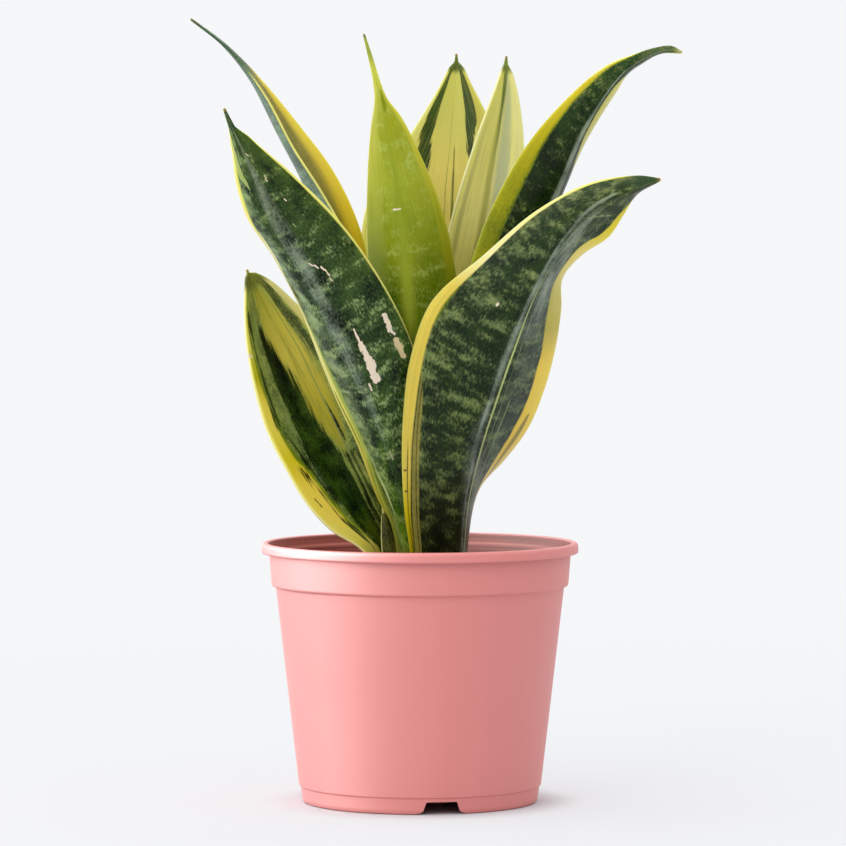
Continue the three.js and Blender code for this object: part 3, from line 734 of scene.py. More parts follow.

# Heights run from 0 at the foot to 1 at the tip, and places across from 0 at the left margin to 1
# at the right one. An edge is one place, or (height, place) points, and a colour is one colour, or
# (height, colour) stops. Scars give two (across, height) places, a half width in mm and a colour.
# Each sheen entry, in the list after the stripes, gives two edges, a softness and a strength: a painted
# highlight of pale grey-green along the rib.
leaf_marks = {
    "leaf_front_right": {
        "ground": [(0.12, paint(14, 20, 2)), (0.24, paint(16, 28, 3)), (0.36, paint(20, 40, 6)),
                   (1.0, paint(26, 48, 18))],
        "bands": (27.0, 0.0, 0.12, 0.20, 0.075,
                  [(0.1, 0.42), (0.3, 0.47), (0.6, 0.47), (0.75, 0.44), (0.9, 0.46)],
                  [(0.12, paint(58, 68, 24)), (0.32, paint(104, 120, 66)), (1.0, paint(112, 128, 84))]),
        "stripes": [
            ([(0.5, 0.0), (0.53, 0.03)], [(0.5, 0.0), (0.55, 0.072), (0.62, 0.056), (0.7, 0.034),
                                         (0.9, 0.036), (0.95, 0.06)],
             paint(96, 112, 12), 0.008, 0.01),
            (0.0, [(0.13, 0.035), (0.2, 0.048), (0.25, 0.058), (0.3, 0.063), (0.4, 0.072),
                   (0.5, 0.062), (0.55, 0.058), (0.6, 0.054), (0.65, 0.047), (0.7, 0.041),
                   (0.8, 0.037), (0.9, 0.038), (0.95, 0.02)],
             [(0.12, paint(140, 130, 6)), (0.2, paint(190, 170, 16)), (0.28, golden), (0.6, golden),
              (0.68, paint(232, 218, 156)), (0.85, paint(220, 210, 126)), (0.95, paint(186, 186, 66))],
             0.006, 0.004),
            ([(0.13, 0.040), (0.2, 0.056), (0.3, 0.070), (0.42, 0.080), (0.48, 0.06)],
             [(0.1, 0.100), (0.3, 0.116), (0.40, 0.108), (0.48, 0.04)],
             paint(136, 130, 58), 0.006, 0.008),
            ([(0.13, 0.040), (0.2, 0.054), (0.3, 0.068), (0.42, 0.077), (0.48, 0.05)],
             [(0.13, 0.045), (0.2, 0.059), (0.3, 0.073), (0.42, 0.080), (0.48, 0.04)],
             paint(62, 60, 20), 0.003, 0.004),
            ([(0.12, 0.084), (0.3, 0.093), (0.42, 0.090), (0.46, 0.07)],
             [(0.12, 0.089), (0.3, 0.099), (0.42, 0.095), (0.46, 0.06)],
             paint(58, 58, 22), 0.004, 0.006),
            ([(0.2, 0.028), (0.33, 0.040)], [(0.2, 0.034), (0.30, 0.043), (0.33, 0.038)],
             paint(84, 76, 8), 0.004, 0.006),
            ([(0.3, 0.72), (0.35, 0.755), (0.4, 0.78), (0.45, 0.795), (0.5, 0.80), (0.55, 0.79),
              (0.6, 0.765), (0.65, 0.745), (0.7, 0.72), (0.77, 0.705), (0.79, 0.71), (0.815, 0.76),
              (0.835, 0.815), (0.86, 0.845), (0.89, 0.86), (0.91, 0.90), (0.93, 0.97), (0.94, 0.999)],
             1.5, [(0.3, paint(222, 192, 56)), (0.53, paint(226, 193, 48)), (0.6, paint(172, 160, 30)),
                   (0.68, paint(180, 170, 40)), (0.78, paint(216, 198, 90)), (0.86, paint(206, 190, 40)),
                   (0.93, paint(186, 180, 60))],
             0.012, 0.04),
            ([(0.27, 0.535), (0.4, 0.521), (0.5, 0.512), (0.6, 0.507), (0.7, 0.503), (0.8, 0.508)],
             [(0.27, 0.545), (0.4, 0.533), (0.5, 0.524), (0.6, 0.518), (0.7, 0.509), (0.8, 0.506)],
             [(0.3, paint(176, 184, 124)), (0.55, paint(190, 200, 124)), (0.75, paint(140, 154, 96))],
             0.004, 0.004),
            ([(0.34, 0.575), (0.5, 0.56)], [(0.34, 0.579), (0.5, 0.563)], paint(128, 138, 104),
             0.004, 0.006),
            ([(0.33, 0.62), (0.45, 0.62), (0.48, 0.64)], [(0.33, 0.624), (0.45, 0.63), (0.48, 0.62)],
             paint(118, 134, 84), 0.005, 0.006),
            ([(0.3, 0.79), (0.35, 0.81), (0.43, 0.87), (0.44, 0.93)],
             [(0.28, 0.79), (0.32, 0.84), (0.43, 0.90), (0.44, 0.87)],
             paint(138, 122, 8), 0.014, 0.02),
        ],
        # painted highlights along the rib and on the lit half
        "painted_sheen": [
            ([(0.28, 0.49), (0.4, 0.472), (0.6, 0.466), (0.7, 0.46), (0.8, 0.40), (0.86, 0.35),
              (0.9, 0.345), (0.935, 0.44)],
             [(0.28, 0.50), (0.4, 0.492), (0.6, 0.492), (0.7, 0.49), (0.8, 0.43), (0.86, 0.40),
              (0.9, 0.39), (0.935, 0.36)],
             0.016, 0.60),
            ([(0.56, 0.58), (0.6, 0.53), (0.7, 0.50), (0.8, 0.46), (0.86, 0.44), (0.9, 0.48)],
             [(0.56, 0.54), (0.6, 0.58), (0.66, 0.66), (0.72, 0.66), (0.8, 0.58), (0.9, 0.43)],
             0.06, 0.46),
            ([(0.2, 0.50), (0.3, 0.46), (0.36, 0.44), (0.42, 0.48)],
             [(0.2, 0.58), (0.3, 0.60), (0.36, 0.54), (0.42, 0.50)], 0.05, 0.24),
            ([(0.3, 0.56), (0.5, 0.56)], [(0.3, 0.72), (0.5, 0.72)], 0.06, 0.12),
        ],
        "caps": [(0.935, 0.965, paint(32, 54, 36)), (0.993, 0.998, dead_brown)],
        "scars": [((0.29, 0.617), (0.291, 0.621), 0.55, cork),
                  ((0.44, 0.843), (0.56, 0.866), 0.22, paint(146, 156, 108)),
                  ((0.56, 0.866), (0.71, 0.879), 0.22, paint(146, 156, 108)),
                  ((0.015, 0.27), (0.03, 0.272), 0.35, dead_brown),
                  ((0.02, 0.235), (0.035, 0.236), 0.45, dead_brown)]},
    "leaf_front_left": {
        "mottle": 1.1,
        "ground": [(0.15, paint(60, 90, 4)), (0.3, paint(44, 74, 10)), (0.5, paint(36, 60, 22)),
                   (1.0, paint(40, 64, 28))],
        "bands": (27.0, 0.20, 0.0, 0.45, 0.075,
                  [(0.1, 0.48), (0.3, 0.54), (0.6, 0.51), (0.75, 0.45), (0.95, 0.43)],
                  [(0.2, paint(112, 136, 60)), (0.4, paint(146, 166, 108)), (1.0, paint(116, 142, 90))]),
        "stripes": [
            ([(0.22, 0.37), (0.3, 0.27), (0.35, 0.21), (0.36, 0.24)],
             [(0.2, 0.37), (0.22, 0.385), (0.3, 0.285), (0.35, 0.225), (0.36, 0.22)],
             paint(168, 184, 118), 0.006, 0.01),
            (0.0, [(0.1, 0.30), (0.2, 0.34), (0.27, 0.28), (0.32, 0.16), (0.36, 0.0)],
             paint(112, 122, 34), 0.03, 0.10),
            (0.0, [(0.12, 0.06), (0.2, 0.12), (0.27, 0.12), (0.32, 0.14), (0.36, 0.0)],
             paint(204, 194, 100), 0.015, 0.02),
            (0.0, [(0.3, 0.13), (0.35, 0.20), (0.4, 0.21), (0.45, 0.205), (0.5, 0.19),
                   (0.55, 0.165), (0.6, 0.145), (0.65, 0.14), (0.72, 0.20), (0.76, 0.18), (0.785, 0.13),
                   (0.8, 0.13), (0.85, 0.14), (0.9, 0.16), (0.94, 0.16), (0.97, 0.0)],
             [(0.25, paint(176, 170, 60)), (0.33, paint(224, 216, 104)), (0.42, paint(246, 238, 136)),
              (0.6, paint(244, 234, 170)), (0.74, paint(242, 228, 170)), (0.8, paint(232, 212, 110)),
              (0.9, paint(226, 216, 120))],
             0.014, 0.02),
            ([(0.31, 0.16), (0.35, 0.15), (0.5, 0.15), (0.6, 0.11)],
             [(0.3, 0.20), (0.35, 0.23), (0.45, 0.225), (0.5, 0.205), (0.6, 0.14)],
             paint(166, 178, 78), 0.020, 0.04),
            ([(0.31, 0.11), (0.42, 0.07), (0.46, 0.10)], [(0.29, 0.12), (0.33, 0.13),
                                                         (0.42, 0.11), (0.46, 0.08)],
             paint(132, 134, 40), 0.014, 0.03),
            ([(0.846, 0.39), (0.855, 0.34), (0.866, 0.27), (0.874, 0.19), (0.9, 0.15),
              (0.94, 0.14), (0.96, 0.3)],
             [(0.846, 0.36), (0.85, 0.385), (0.88, 0.33), (0.9, 0.29), (0.935, 0.25), (0.955, 0.20),
              (0.96, 0.15)],
             [(0.85, paint(146, 164, 104)), (0.88, paint(150, 164, 88)), (0.93, paint(176, 180, 100))],
             0.010, 0.015),
            ([(0.5, 0.992), (0.6, 0.987), (0.7, 0.982), (0.8, 0.972), (0.87, 0.966)],
             1.5, paint(206, 200, 110), 0.006, 0.006),
        ],
        # painted highlights on the lit left half and along the rib
        "painted_sheen": [
            ([(0.3, 0.30), (0.42, 0.22), (0.5, 0.16), (0.75, 0.12), (0.8, 0.20)],
             [(0.3, 0.34), (0.42, 0.42), (0.5, 0.42), (0.7, 0.42), (0.8, 0.30)], 0.09, 0.14),
            ([(0.32, 0.54), (0.42, 0.50), (0.6, 0.49), (0.8, 0.49), (0.93, 0.54)],
             [(0.32, 0.53), (0.42, 0.56), (0.6, 0.60), (0.8, 0.62), (0.93, 0.58)], 0.04, 0.34),
        ],
        "caps": [(0.16, 0.10, paint(150, 146, 52)), (0.952, 0.966, paint(30, 52, 36)),
                 (0.994, 0.998, dead_brown)],
        "scars": [((0.672, 0.552), (0.668, 0.525), 0.35, cork),
                  ((0.669, 0.525), (0.672, 0.495), 0.85, cork),
                  ((0.675, 0.495), (0.668, 0.453), 1.35, cork),
                  ((0.640, 0.463), (0.655, 0.452), 0.5, cork),
                  ((0.905, 0.552), (0.895, 0.525), 0.75, cork),
                  ((0.90, 0.528), (0.91, 0.515), 0.5, cork),
                  ((0.905, 0.505), (0.915, 0.475), 0.9, paint(208, 190, 150)),
                  ((0.613, 0.690), (0.628, 0.684), 0.28, cork),
                  ((0.645, 0.683), (0.658, 0.676), 0.28, cork),
                  ((0.684, 0.676), (0.692, 0.668), 0.26, cork),
                  ((0.700, 0.668), (0.708, 0.655), 0.26, cork),
                  ((0.612, 0.668), (0.620, 0.658), 0.3, paint(60, 70, 44)),
                  ((0.700, 0.652), (0.704, 0.645), 0.26, cork),
                  ((0.603, 0.912), (0.63, 0.908), 0.32, cork),
                  ((0.650, 0.900), (0.656, 0.893), 0.25, paint(150, 160, 110)),
                  ((0.696, 0.864), (0.700, 0.858), 0.24, cork),
                  ((0.680, 0.857), (0.688, 0.853), 0.26, cork),
                  ((0.742, 0.811), (0.750, 0.806), 0.26, cork),
                  ((0.676, 0.765), (0.684, 0.758), 0.24, paint(150, 166, 110)),
                  ((0.555, 0.325), (0.565, 0.31), 0.4, paint(150, 150, 110)),
                  ((0.60, 0.452), (0.60, 0.44), 0.3, cork)]},
    "leaf_right": {
        "ground": [(0.15, paint(30, 42, 4)), (0.5, paint(14, 34, 0)), (0.75, paint(16, 36, 0)),
                   (0.85, paint(22, 50, 8)), (1.0, paint(34, 62, 34))],
        "bands": (26.0, 0.05, 0.0, 0.0, 0.02, [(0.1, 0.36), (0.6, 0.38), (0.95, 0.42)],
                  [(0.6, paint(88, 106, 44)), (0.85, paint(106, 124, 80))]),
        "stripes": [
            (0.0, [(0.6, 0.155), (0.65, 0.15), (0.7, 0.14), (0.75, 0.13), (0.8, 0.12),
                   (0.85, 0.115), (0.88, 0.12), (0.92, 0.10), (0.95, 0.0)],
             paint(96, 112, 0), 0.008, 0.015),
            (0.0, [(0.6, 0.13), (0.65, 0.13), (0.7, 0.12), (0.75, 0.11), (0.8, 0.10),
                   (0.85, 0.09), (0.88, 0.085), (0.92, 0.05), (0.95, 0.0)],
             [(0.6, paint(128, 134, 0)), (0.68, paint(144, 144, 0)), (0.76, paint(166, 156, 0)),
              (0.85, paint(176, 162, 18)), (0.92, paint(190, 182, 80))], 0.016, 0.02),
            (0.0, [(0.85, 0.0), (0.88, 0.03), (0.93, 0.03), (0.95, 0.0)],
             paint(210, 204, 130), 0.006, 0.004),
            ([(0.5, 0.80), (0.7, 0.72), (0.75, 0.62), (0.8, 0.56), (0.86, 0.54), (0.89, 0.62),
              (0.905, 0.9), (0.915, 0.999)], 1.5,
             [(0.6, paint(170, 166, 60)), (0.85, paint(184, 182, 84))], 0.02, 0.04),
        ],
        # painted highlight along the rib
        "painted_sheen": [
            ([(0.6, 0.43), (0.75, 0.46), (0.83, 0.46), (0.92, 0.44)],
             [(0.6, 0.49), (0.75, 0.53), (0.83, 0.51), (0.92, 0.47)], 0.02, 0.70),
        ],
        "caps": [(0.93, 0.955, paint(58, 82, 60)), (0.985, 0.998, paint(150, 150, 116))],
        "scars": []},
    "leaf_left": {
        "mottle": 1.5,
        "ground": [(0.22, paint(84, 100, 24)), (0.4, paint(88, 108, 42)), (0.5, paint(104, 124, 60)),
                   (0.85, paint(112, 130, 70)), (1.0, paint(140, 148, 76))],
        "bands": (24.0, 0.06, 0.0, 0.0, 0.02, [(0.1, 0.40), (0.9, 0.44)], paint(160, 170, 92)),
        "stripes": [
            (0.0, [(0.2, 0.47), (0.22, 0.39), (0.25, 0.33), (0.35, 0.28), (0.45, 0.24),
                   (0.5, 0.19), (0.6, 0.15), (0.65, 0.12), (0.75, 0.11), (0.8, 0.08), (0.9, 0.05)],
             [(0.25, paint(146, 160, 24)), (0.5, paint(128, 146, 10)), (0.7, paint(122, 138, 24))],
             0.018, 0.12),
            (0.0, [(0.2, 0.44), (0.22, 0.36), (0.25, 0.29), (0.35, 0.25), (0.45, 0.21),
                   (0.5, 0.16), (0.6, 0.125), (0.65, 0.11), (0.75, 0.08), (0.8, 0.06), (0.9, 0.04),
                   (0.95, 0.06)],
             [(0.2, paint(206, 196, 84)), (0.3, paint(232, 210, 92)), (0.42, paint(230, 205, 84)),
              (0.5, paint(206, 192, 36)), (0.6, paint(226, 208, 100)), (0.66, paint(228, 204, 92)),
              (0.72, paint(176, 174, 24)), (0.77, paint(186, 184, 60)), (0.8, lemon),
              (0.95, paint(200, 196, 104))],
             0.014, 0.04),
            (0.0, [(0.3, 0.022), (0.75, 0.022), (0.8, 0.01)], paint(236, 222, 150), 0.012, 0.004),
            ([(0.57, 0.15), (0.6, 0.13), (0.7, 0.13), (0.8, 0.12), (0.88, 0.06), (0.9, 0.10)],
             [(0.57, 0.14), (0.6, 0.15), (0.7, 0.18), (0.8, 0.16), (0.88, 0.13), (0.9, 0.08)],
             paint(34, 52, 12), 0.012, 0.14),
            ([(0.38, 0.28), (0.4, 0.275), (0.45, 0.25), (0.5, 0.225), (0.55, 0.212), (0.57, 0.23)],
             [(0.38, 0.27), (0.4, 0.295), (0.45, 0.275), (0.5, 0.25), (0.55, 0.225), (0.57, 0.21)],
             paint(30, 48, 10), 0.008, 0.06),
            ([(0.2, 0.30), (0.22, 0.26), (0.3, 0.22), (0.32, 0.21), (0.35, 0.21), (0.4, 0.185),
              (0.47, 0.155), (0.49, 0.18)],
             [(0.2, 0.32), (0.22, 0.29), (0.3, 0.25), (0.32, 0.235), (0.35, 0.23), (0.4, 0.20),
              (0.47, 0.17), (0.49, 0.15)],
             paint(34, 50, 8), 0.010, 0.12),
            ([(0.18, 0.48), (0.25, 0.41), (0.3, 0.37), (0.35, 0.34), (0.4, 0.30), (0.5, 0.29),
              (0.6, 0.30), (0.75, 0.29), (0.82, 0.27), (0.86, 0.31)],
             [(0.2, 0.8), (0.3, 0.74), (0.35, 0.69), (0.4, 0.66), (0.5, 0.63), (0.55, 0.60),
              (0.6, 0.58), (0.7, 0.53), (0.75, 0.48), (0.8, 0.44), (0.84, 0.37), (0.86, 0.30)],
             [(0.2, paint(54, 66, 2)), (0.32, paint(26, 50, 4)), (0.5, paint(36, 60, 8)),
              (0.8, paint(26, 42, 10))],
             0.018, 0.17),
            ([(0.44, 0.68), (0.5, 0.66), (0.55, 0.61), (0.6, 0.58), (0.7, 0.53),
              (0.75, 0.48), (0.8, 0.44), (0.85, 0.40), (0.92, 0.40), (0.95, 0.48), (0.97, 0.6)],
             [(0.44, 0.65), (0.47, 0.70), (0.5, 0.74), (0.65, 0.80), (0.8, 0.78), (0.9, 0.74),
              (0.95, 0.64), (0.97, 0.5)],
             [(0.5, paint(172, 166, 50)), (0.6, paint(176, 168, 50)), (0.75, paint(194, 184, 82)),
              (0.85, paint(180, 174, 76)), (0.95, paint(138, 144, 66))],
             0.035, 0.15),
            ([(0.45, 0.70), (0.9, 0.56)], [(0.45, 0.71), (0.9, 0.59)], paint(140, 142, 56), 0.03, 0.20),
            ([(0.2, 0.82), (0.3, 0.77), (0.4, 0.72), (0.44, 0.72), (0.47, 0.8)],
             [(0.2, 0.95), (0.3, 0.93), (0.4, 0.88), (0.44, 0.84), (0.47, 0.78)],
             paint(48, 64, 20), 0.03, 0.12),
            ([(0.25, 0.84), (0.45, 0.77), (0.46, 0.79)], [(0.25, 0.855), (0.45, 0.79), (0.46, 0.78)],
             paint(116, 126, 62), 0.010, 0.02),
            ([(0.48, 0.75), (0.5, 0.735), (0.6, 0.725), (0.63, 0.75)],
             [(0.48, 0.73), (0.5, 0.755), (0.6, 0.74), (0.63, 0.72)],
             paint(52, 64, 10), 0.008, 0.02),
            ([(0.3, 0.66), (0.45, 0.65), (0.5, 0.68)], [(0.3, 0.67), (0.45, 0.67), (0.5, 0.66)],
             paint(132, 146, 76), 0.008, 0.02),
            ([(0.3, 0.70), (0.45, 0.69), (0.48, 0.72)], [(0.3, 0.73), (0.45, 0.71), (0.48, 0.69)],
             paint(28, 44, 6), 0.010, 0.06),
            ([(0.3, 0.735), (0.48, 0.72)], [(0.3, 0.75), (0.48, 0.735)],
             paint(132, 146, 76), 0.008, 0.02),
            ([(0.5, 0.9), (0.65, 0.86), (0.75, 0.82), (0.85, 0.79), (0.95, 0.74), (0.985, 0.6)],
             [(0.5, 0.9), (0.65, 0.87), (0.75, 0.88), (0.85, 0.90), (0.95, 0.90), (0.985, 0.75)],
             paint(58, 76, 42), 0.020, 0.12),
            (0.91, 1.5, [(0.6, paint(200, 188, 104)), (0.9, paint(186, 182, 140))], 0.014, 0.03),
        ],
        # painted highlight near the left margin
        "painted_sheen": [([(0.4, 0.30), (0.8, 0.22)], [(0.4, 0.33), (0.8, 0.26)], 0.04, 0.10)],
        "caps": [(0.93, 0.965, paint(84, 98, 50)), (0.988, 0.994, paint(126, 112, 92))],
        "scars": [((0.335, 0.935), (0.345, 0.905), 0.45, paint(36, 50, 14)),
                  ((0.40, 0.90), (0.402, 0.875), 0.35, paint(60, 74, 20)),
                  ((0.11, 0.385), (0.12, 0.36), 0.4, paint(70, 76, 10)),
                  ((-0.02, 0.782), (0.05, 0.778), 0.7, cork)]},
    "leaf_back_left": {
        "mottle": 0.5,
        "ground": [(0.2, paint(60, 78, 40)), (0.6, paint(88, 110, 88)), (0.85, paint(92, 114, 98)),
                   (1.0, paint(50, 76, 54))],
        "bands": (26.0, 0.04, 0.0, 0.0, 0.02, [(0.1, 0.40), (0.78, 0.42), (0.85, 0.1)],
                  paint(128, 146, 122)),
        "stripes": [
            (0.0, [(0.5, 0.015), (0.8, 0.015), (0.87, 0.0)], paint(202, 194, 112), 0.015, 0.02),
            ([(0.5, 0.60), (0.82, 0.60), (0.88, 0.75), (0.9, 0.99)], 1.5,
             [(0.5, paint(150, 138, 30)), (0.75, paint(134, 128, 60))], 0.05, 0.0),
            ([(0.5, 0.82), (0.82, 0.84), (0.88, 0.9), (0.9, 0.99)], 1.5,
             [(0.6, paint(196, 172, 40)), (0.74, paint(202, 182, 66))], 0.07, 0.0),
        ],
        "caps": [(0.86, 0.90, paint(54, 80, 58)), (0.98, 0.995, paint(70, 74, 50))],
        "scars": []},
    "leaf_centre": {
        "mottle": 0.30,
        "ground": [(0.3, paint(66, 84, 0)), (0.5, paint(86, 106, 0)), (0.57, paint(100, 118, 4)),
                   (0.65, paint(130, 141, 14)), (0.75, paint(154, 163, 40)),
                   (0.85, paint(148, 153, 22)), (0.95, paint(188, 190, 90)), (1.0, paint(150, 156, 70))],
        "bands": (30.0, 0.02, 0.0, 0.0, 0.02,
                  [(0.5, 0.36), (0.55, 0.50), (0.59, 0.50), (0.64, 0.43), (0.8, 0.42), (0.9, 0.37)],
                  [(0.5, paint(140, 154, 76)), (0.62, paint(164, 176, 80)), (0.8, paint(178, 188, 96))]),
        "stripes": [
            # Painted highlight: a broad, soft, lighter and greyer band along the left third of the leaf.
            (0.0, [(0.5, 0.22), (0.9, 0.22)], [(0.5, paint(96, 112, 4)), (0.64, paint(134, 146, 40)),
                                              (0.75, paint(166, 170, 50)), (0.85, paint(176, 175, 72)),
                                              (0.92, paint(190, 190, 90))], 0.10, 0.08),
            ([(0.5, 0.88), (0.9, 0.88)], 1.5, [(0.5, paint(100, 112, 4)), (0.64, paint(152, 152, 24)),
                                              (0.85, paint(186, 182, 58))], 0.03, 0.04),
            (0.0, [(0.6, 0.0), (0.66, 0.01), (0.8, 0.02)], lemon, 0.012, 0.01),
            ([(0.6, 0.40), (0.84, 0.44), (0.86, 0.46)], [(0.6, 0.52), (0.84, 0.49), (0.86, 0.44)],
             paint(140, 152, 24), 0.06, 0.10),
            ([(0.86, 0.7), (0.87, 0.52), (0.90, 0.62), (0.91, 0.8)],
             [(0.86, 0.55), (0.87, 0.64), (0.90, 0.76), (0.91, 0.7)], paint(120, 134, 4), 0.05, 0.04),
        ],
        "fibres": (0.50, paint(104, 126, 14)),
        "caps": [(0.93, 0.975, paint(126, 140, 66)), (0.988, 0.998, paint(80, 84, 44))],
        "scars": [((0.38, 0.703), (0.46, 0.703), 0.4, cork)]},
    "leaf_back": {
        "mottle": 0.38,
        "ground": [(0.3, paint(150, 146, 60)), (0.6, paint(196, 184, 100)), (0.8, paint(212, 200, 120)),
                   (0.88, paint(192, 190, 112)), (1.0, paint(182, 182, 106))],
        "stripes": [
            (0.0, [(0.76, 0.2), (0.8, 0.19), (0.82, 0.14), (0.85, 0.08), (0.9, 0.04), (0.95, 0.0)],
             paint(206, 204, 142), 0.010, 0.02),
            ([(0.76, 0.25), (0.8, 0.19), (0.82, 0.15), (0.85, 0.09), (0.9, 0.05),
              (0.93, 0.05), (0.96, 0.08), (0.975, 0.14)],
             [(0.76, 0.25), (0.8, 0.275), (0.82, 0.26), (0.85, 0.225), (0.9, 0.205), (0.93, 0.19),
              (0.96, 0.20), (0.975, 0.40)],
             paint(34, 60, 36), 0.008, 0.08),
            ([(0.78, 0.70), (0.82, 0.66), (0.86, 0.66), (0.9, 0.675), (0.93, 0.69), (0.96, 0.70),
              (0.975, 0.58)],
             [(0.78, 0.68), (0.82, 0.71), (0.86, 0.79), (0.9, 0.90), (0.93, 0.92), (0.96, 0.90),
              (0.975, 0.84)],
             paint(34, 60, 36), 0.008, 0.08),
            ([(0.8, 0.76), (0.85, 0.80), (0.9, 0.87), (0.95, 0.91)], 1.5,
             paint(184, 176, 96), 0.01, 0.02),
            ([(0.6, 0.497), (0.83, 0.502), (0.85, 0.515)], [(0.6, 0.515), (0.83, 0.512), (0.85, 0.50)],
             paint(96, 104, 44), 0.006, 0.02),
            ([(0.72, 0.44), (0.84, 0.45)], [(0.72, 0.45), (0.84, 0.455)],
             paint(140, 146, 74), 0.006, 0.02),
        ],
        "fibres": (0.42, paint(150, 152, 80)),
        "caps": [(0.962, 0.975, paint(58, 82, 44)), (0.992, 0.997, dead_brown)],
        "scars": []},
    "leaf_back_right": {
        "mottle": 0.2,
        "ground": [(0.3, paint(180, 170, 80)), (0.6, paint(226, 214, 126)), (0.72, paint(240, 230, 148)),
                   (0.82, paint(224, 216, 134)), (0.9, paint(210, 206, 136)), (1.0, paint(190, 190, 110))],
        "stripes": [
            (0.0, [(0.6, 0.02), (0.95, 0.04)], paint(228, 222, 168), 0.015, 0.01),
            (0.09, 0.165, [(0.62, paint(186, 184, 100)), (0.74, paint(196, 192, 130)),
                           (0.92, paint(210, 204, 136))], 0.02, 0.06),
            (0.44, 0.56, [(0.62, paint(170, 166, 78)), (0.75, paint(184, 180, 98)),
                          (0.92, paint(176, 176, 96))], 0.05, 0.08),
            # Painted sheen: the soft grey-green band right of the rib stands for the gloss along the
            # ridge.
            (0.60, 0.80, [(0.62, paint(176, 176, 118)), (0.78, paint(180, 184, 148)),
                          (0.9, paint(168, 174, 142))], 0.05, 0.08),
            (0.84, 1.5, paint(200, 196, 142), 0.05, 0.03),
            ([(0.80, 0.55), (0.88, 0.50), (0.93, 0.46), (0.97, 0.36)],
             [(0.80, 0.55), (0.88, 0.56), (0.93, 0.60), (0.97, 0.72)],
             paint(84, 104, 54), 0.04, 0.10),
        ],
        "fibres": (0.42, paint(160, 162, 100)),
        "caps": [(0.965, 0.98, paint(84, 104, 56)), (0.993, 0.998, dead_brown)],
        "scars": []},
    "dry_sheath": {
        "ground": [(0.5, paint(54, 58, 14)), (0.8, paint(60, 66, 18)), (1.0, paint(72, 76, 26))],
        "stripes": [(0.0, 0.09, paint(188, 180, 112), 0.04, 0.05),
                    ([(0.2, 0.52), (0.9, 0.48)], [(0.2, 0.56), (0.9, 0.54)],
                     paint(82, 86, 30), 0.05, 0.1)],
        "caps": [],
        "scars": []},
}


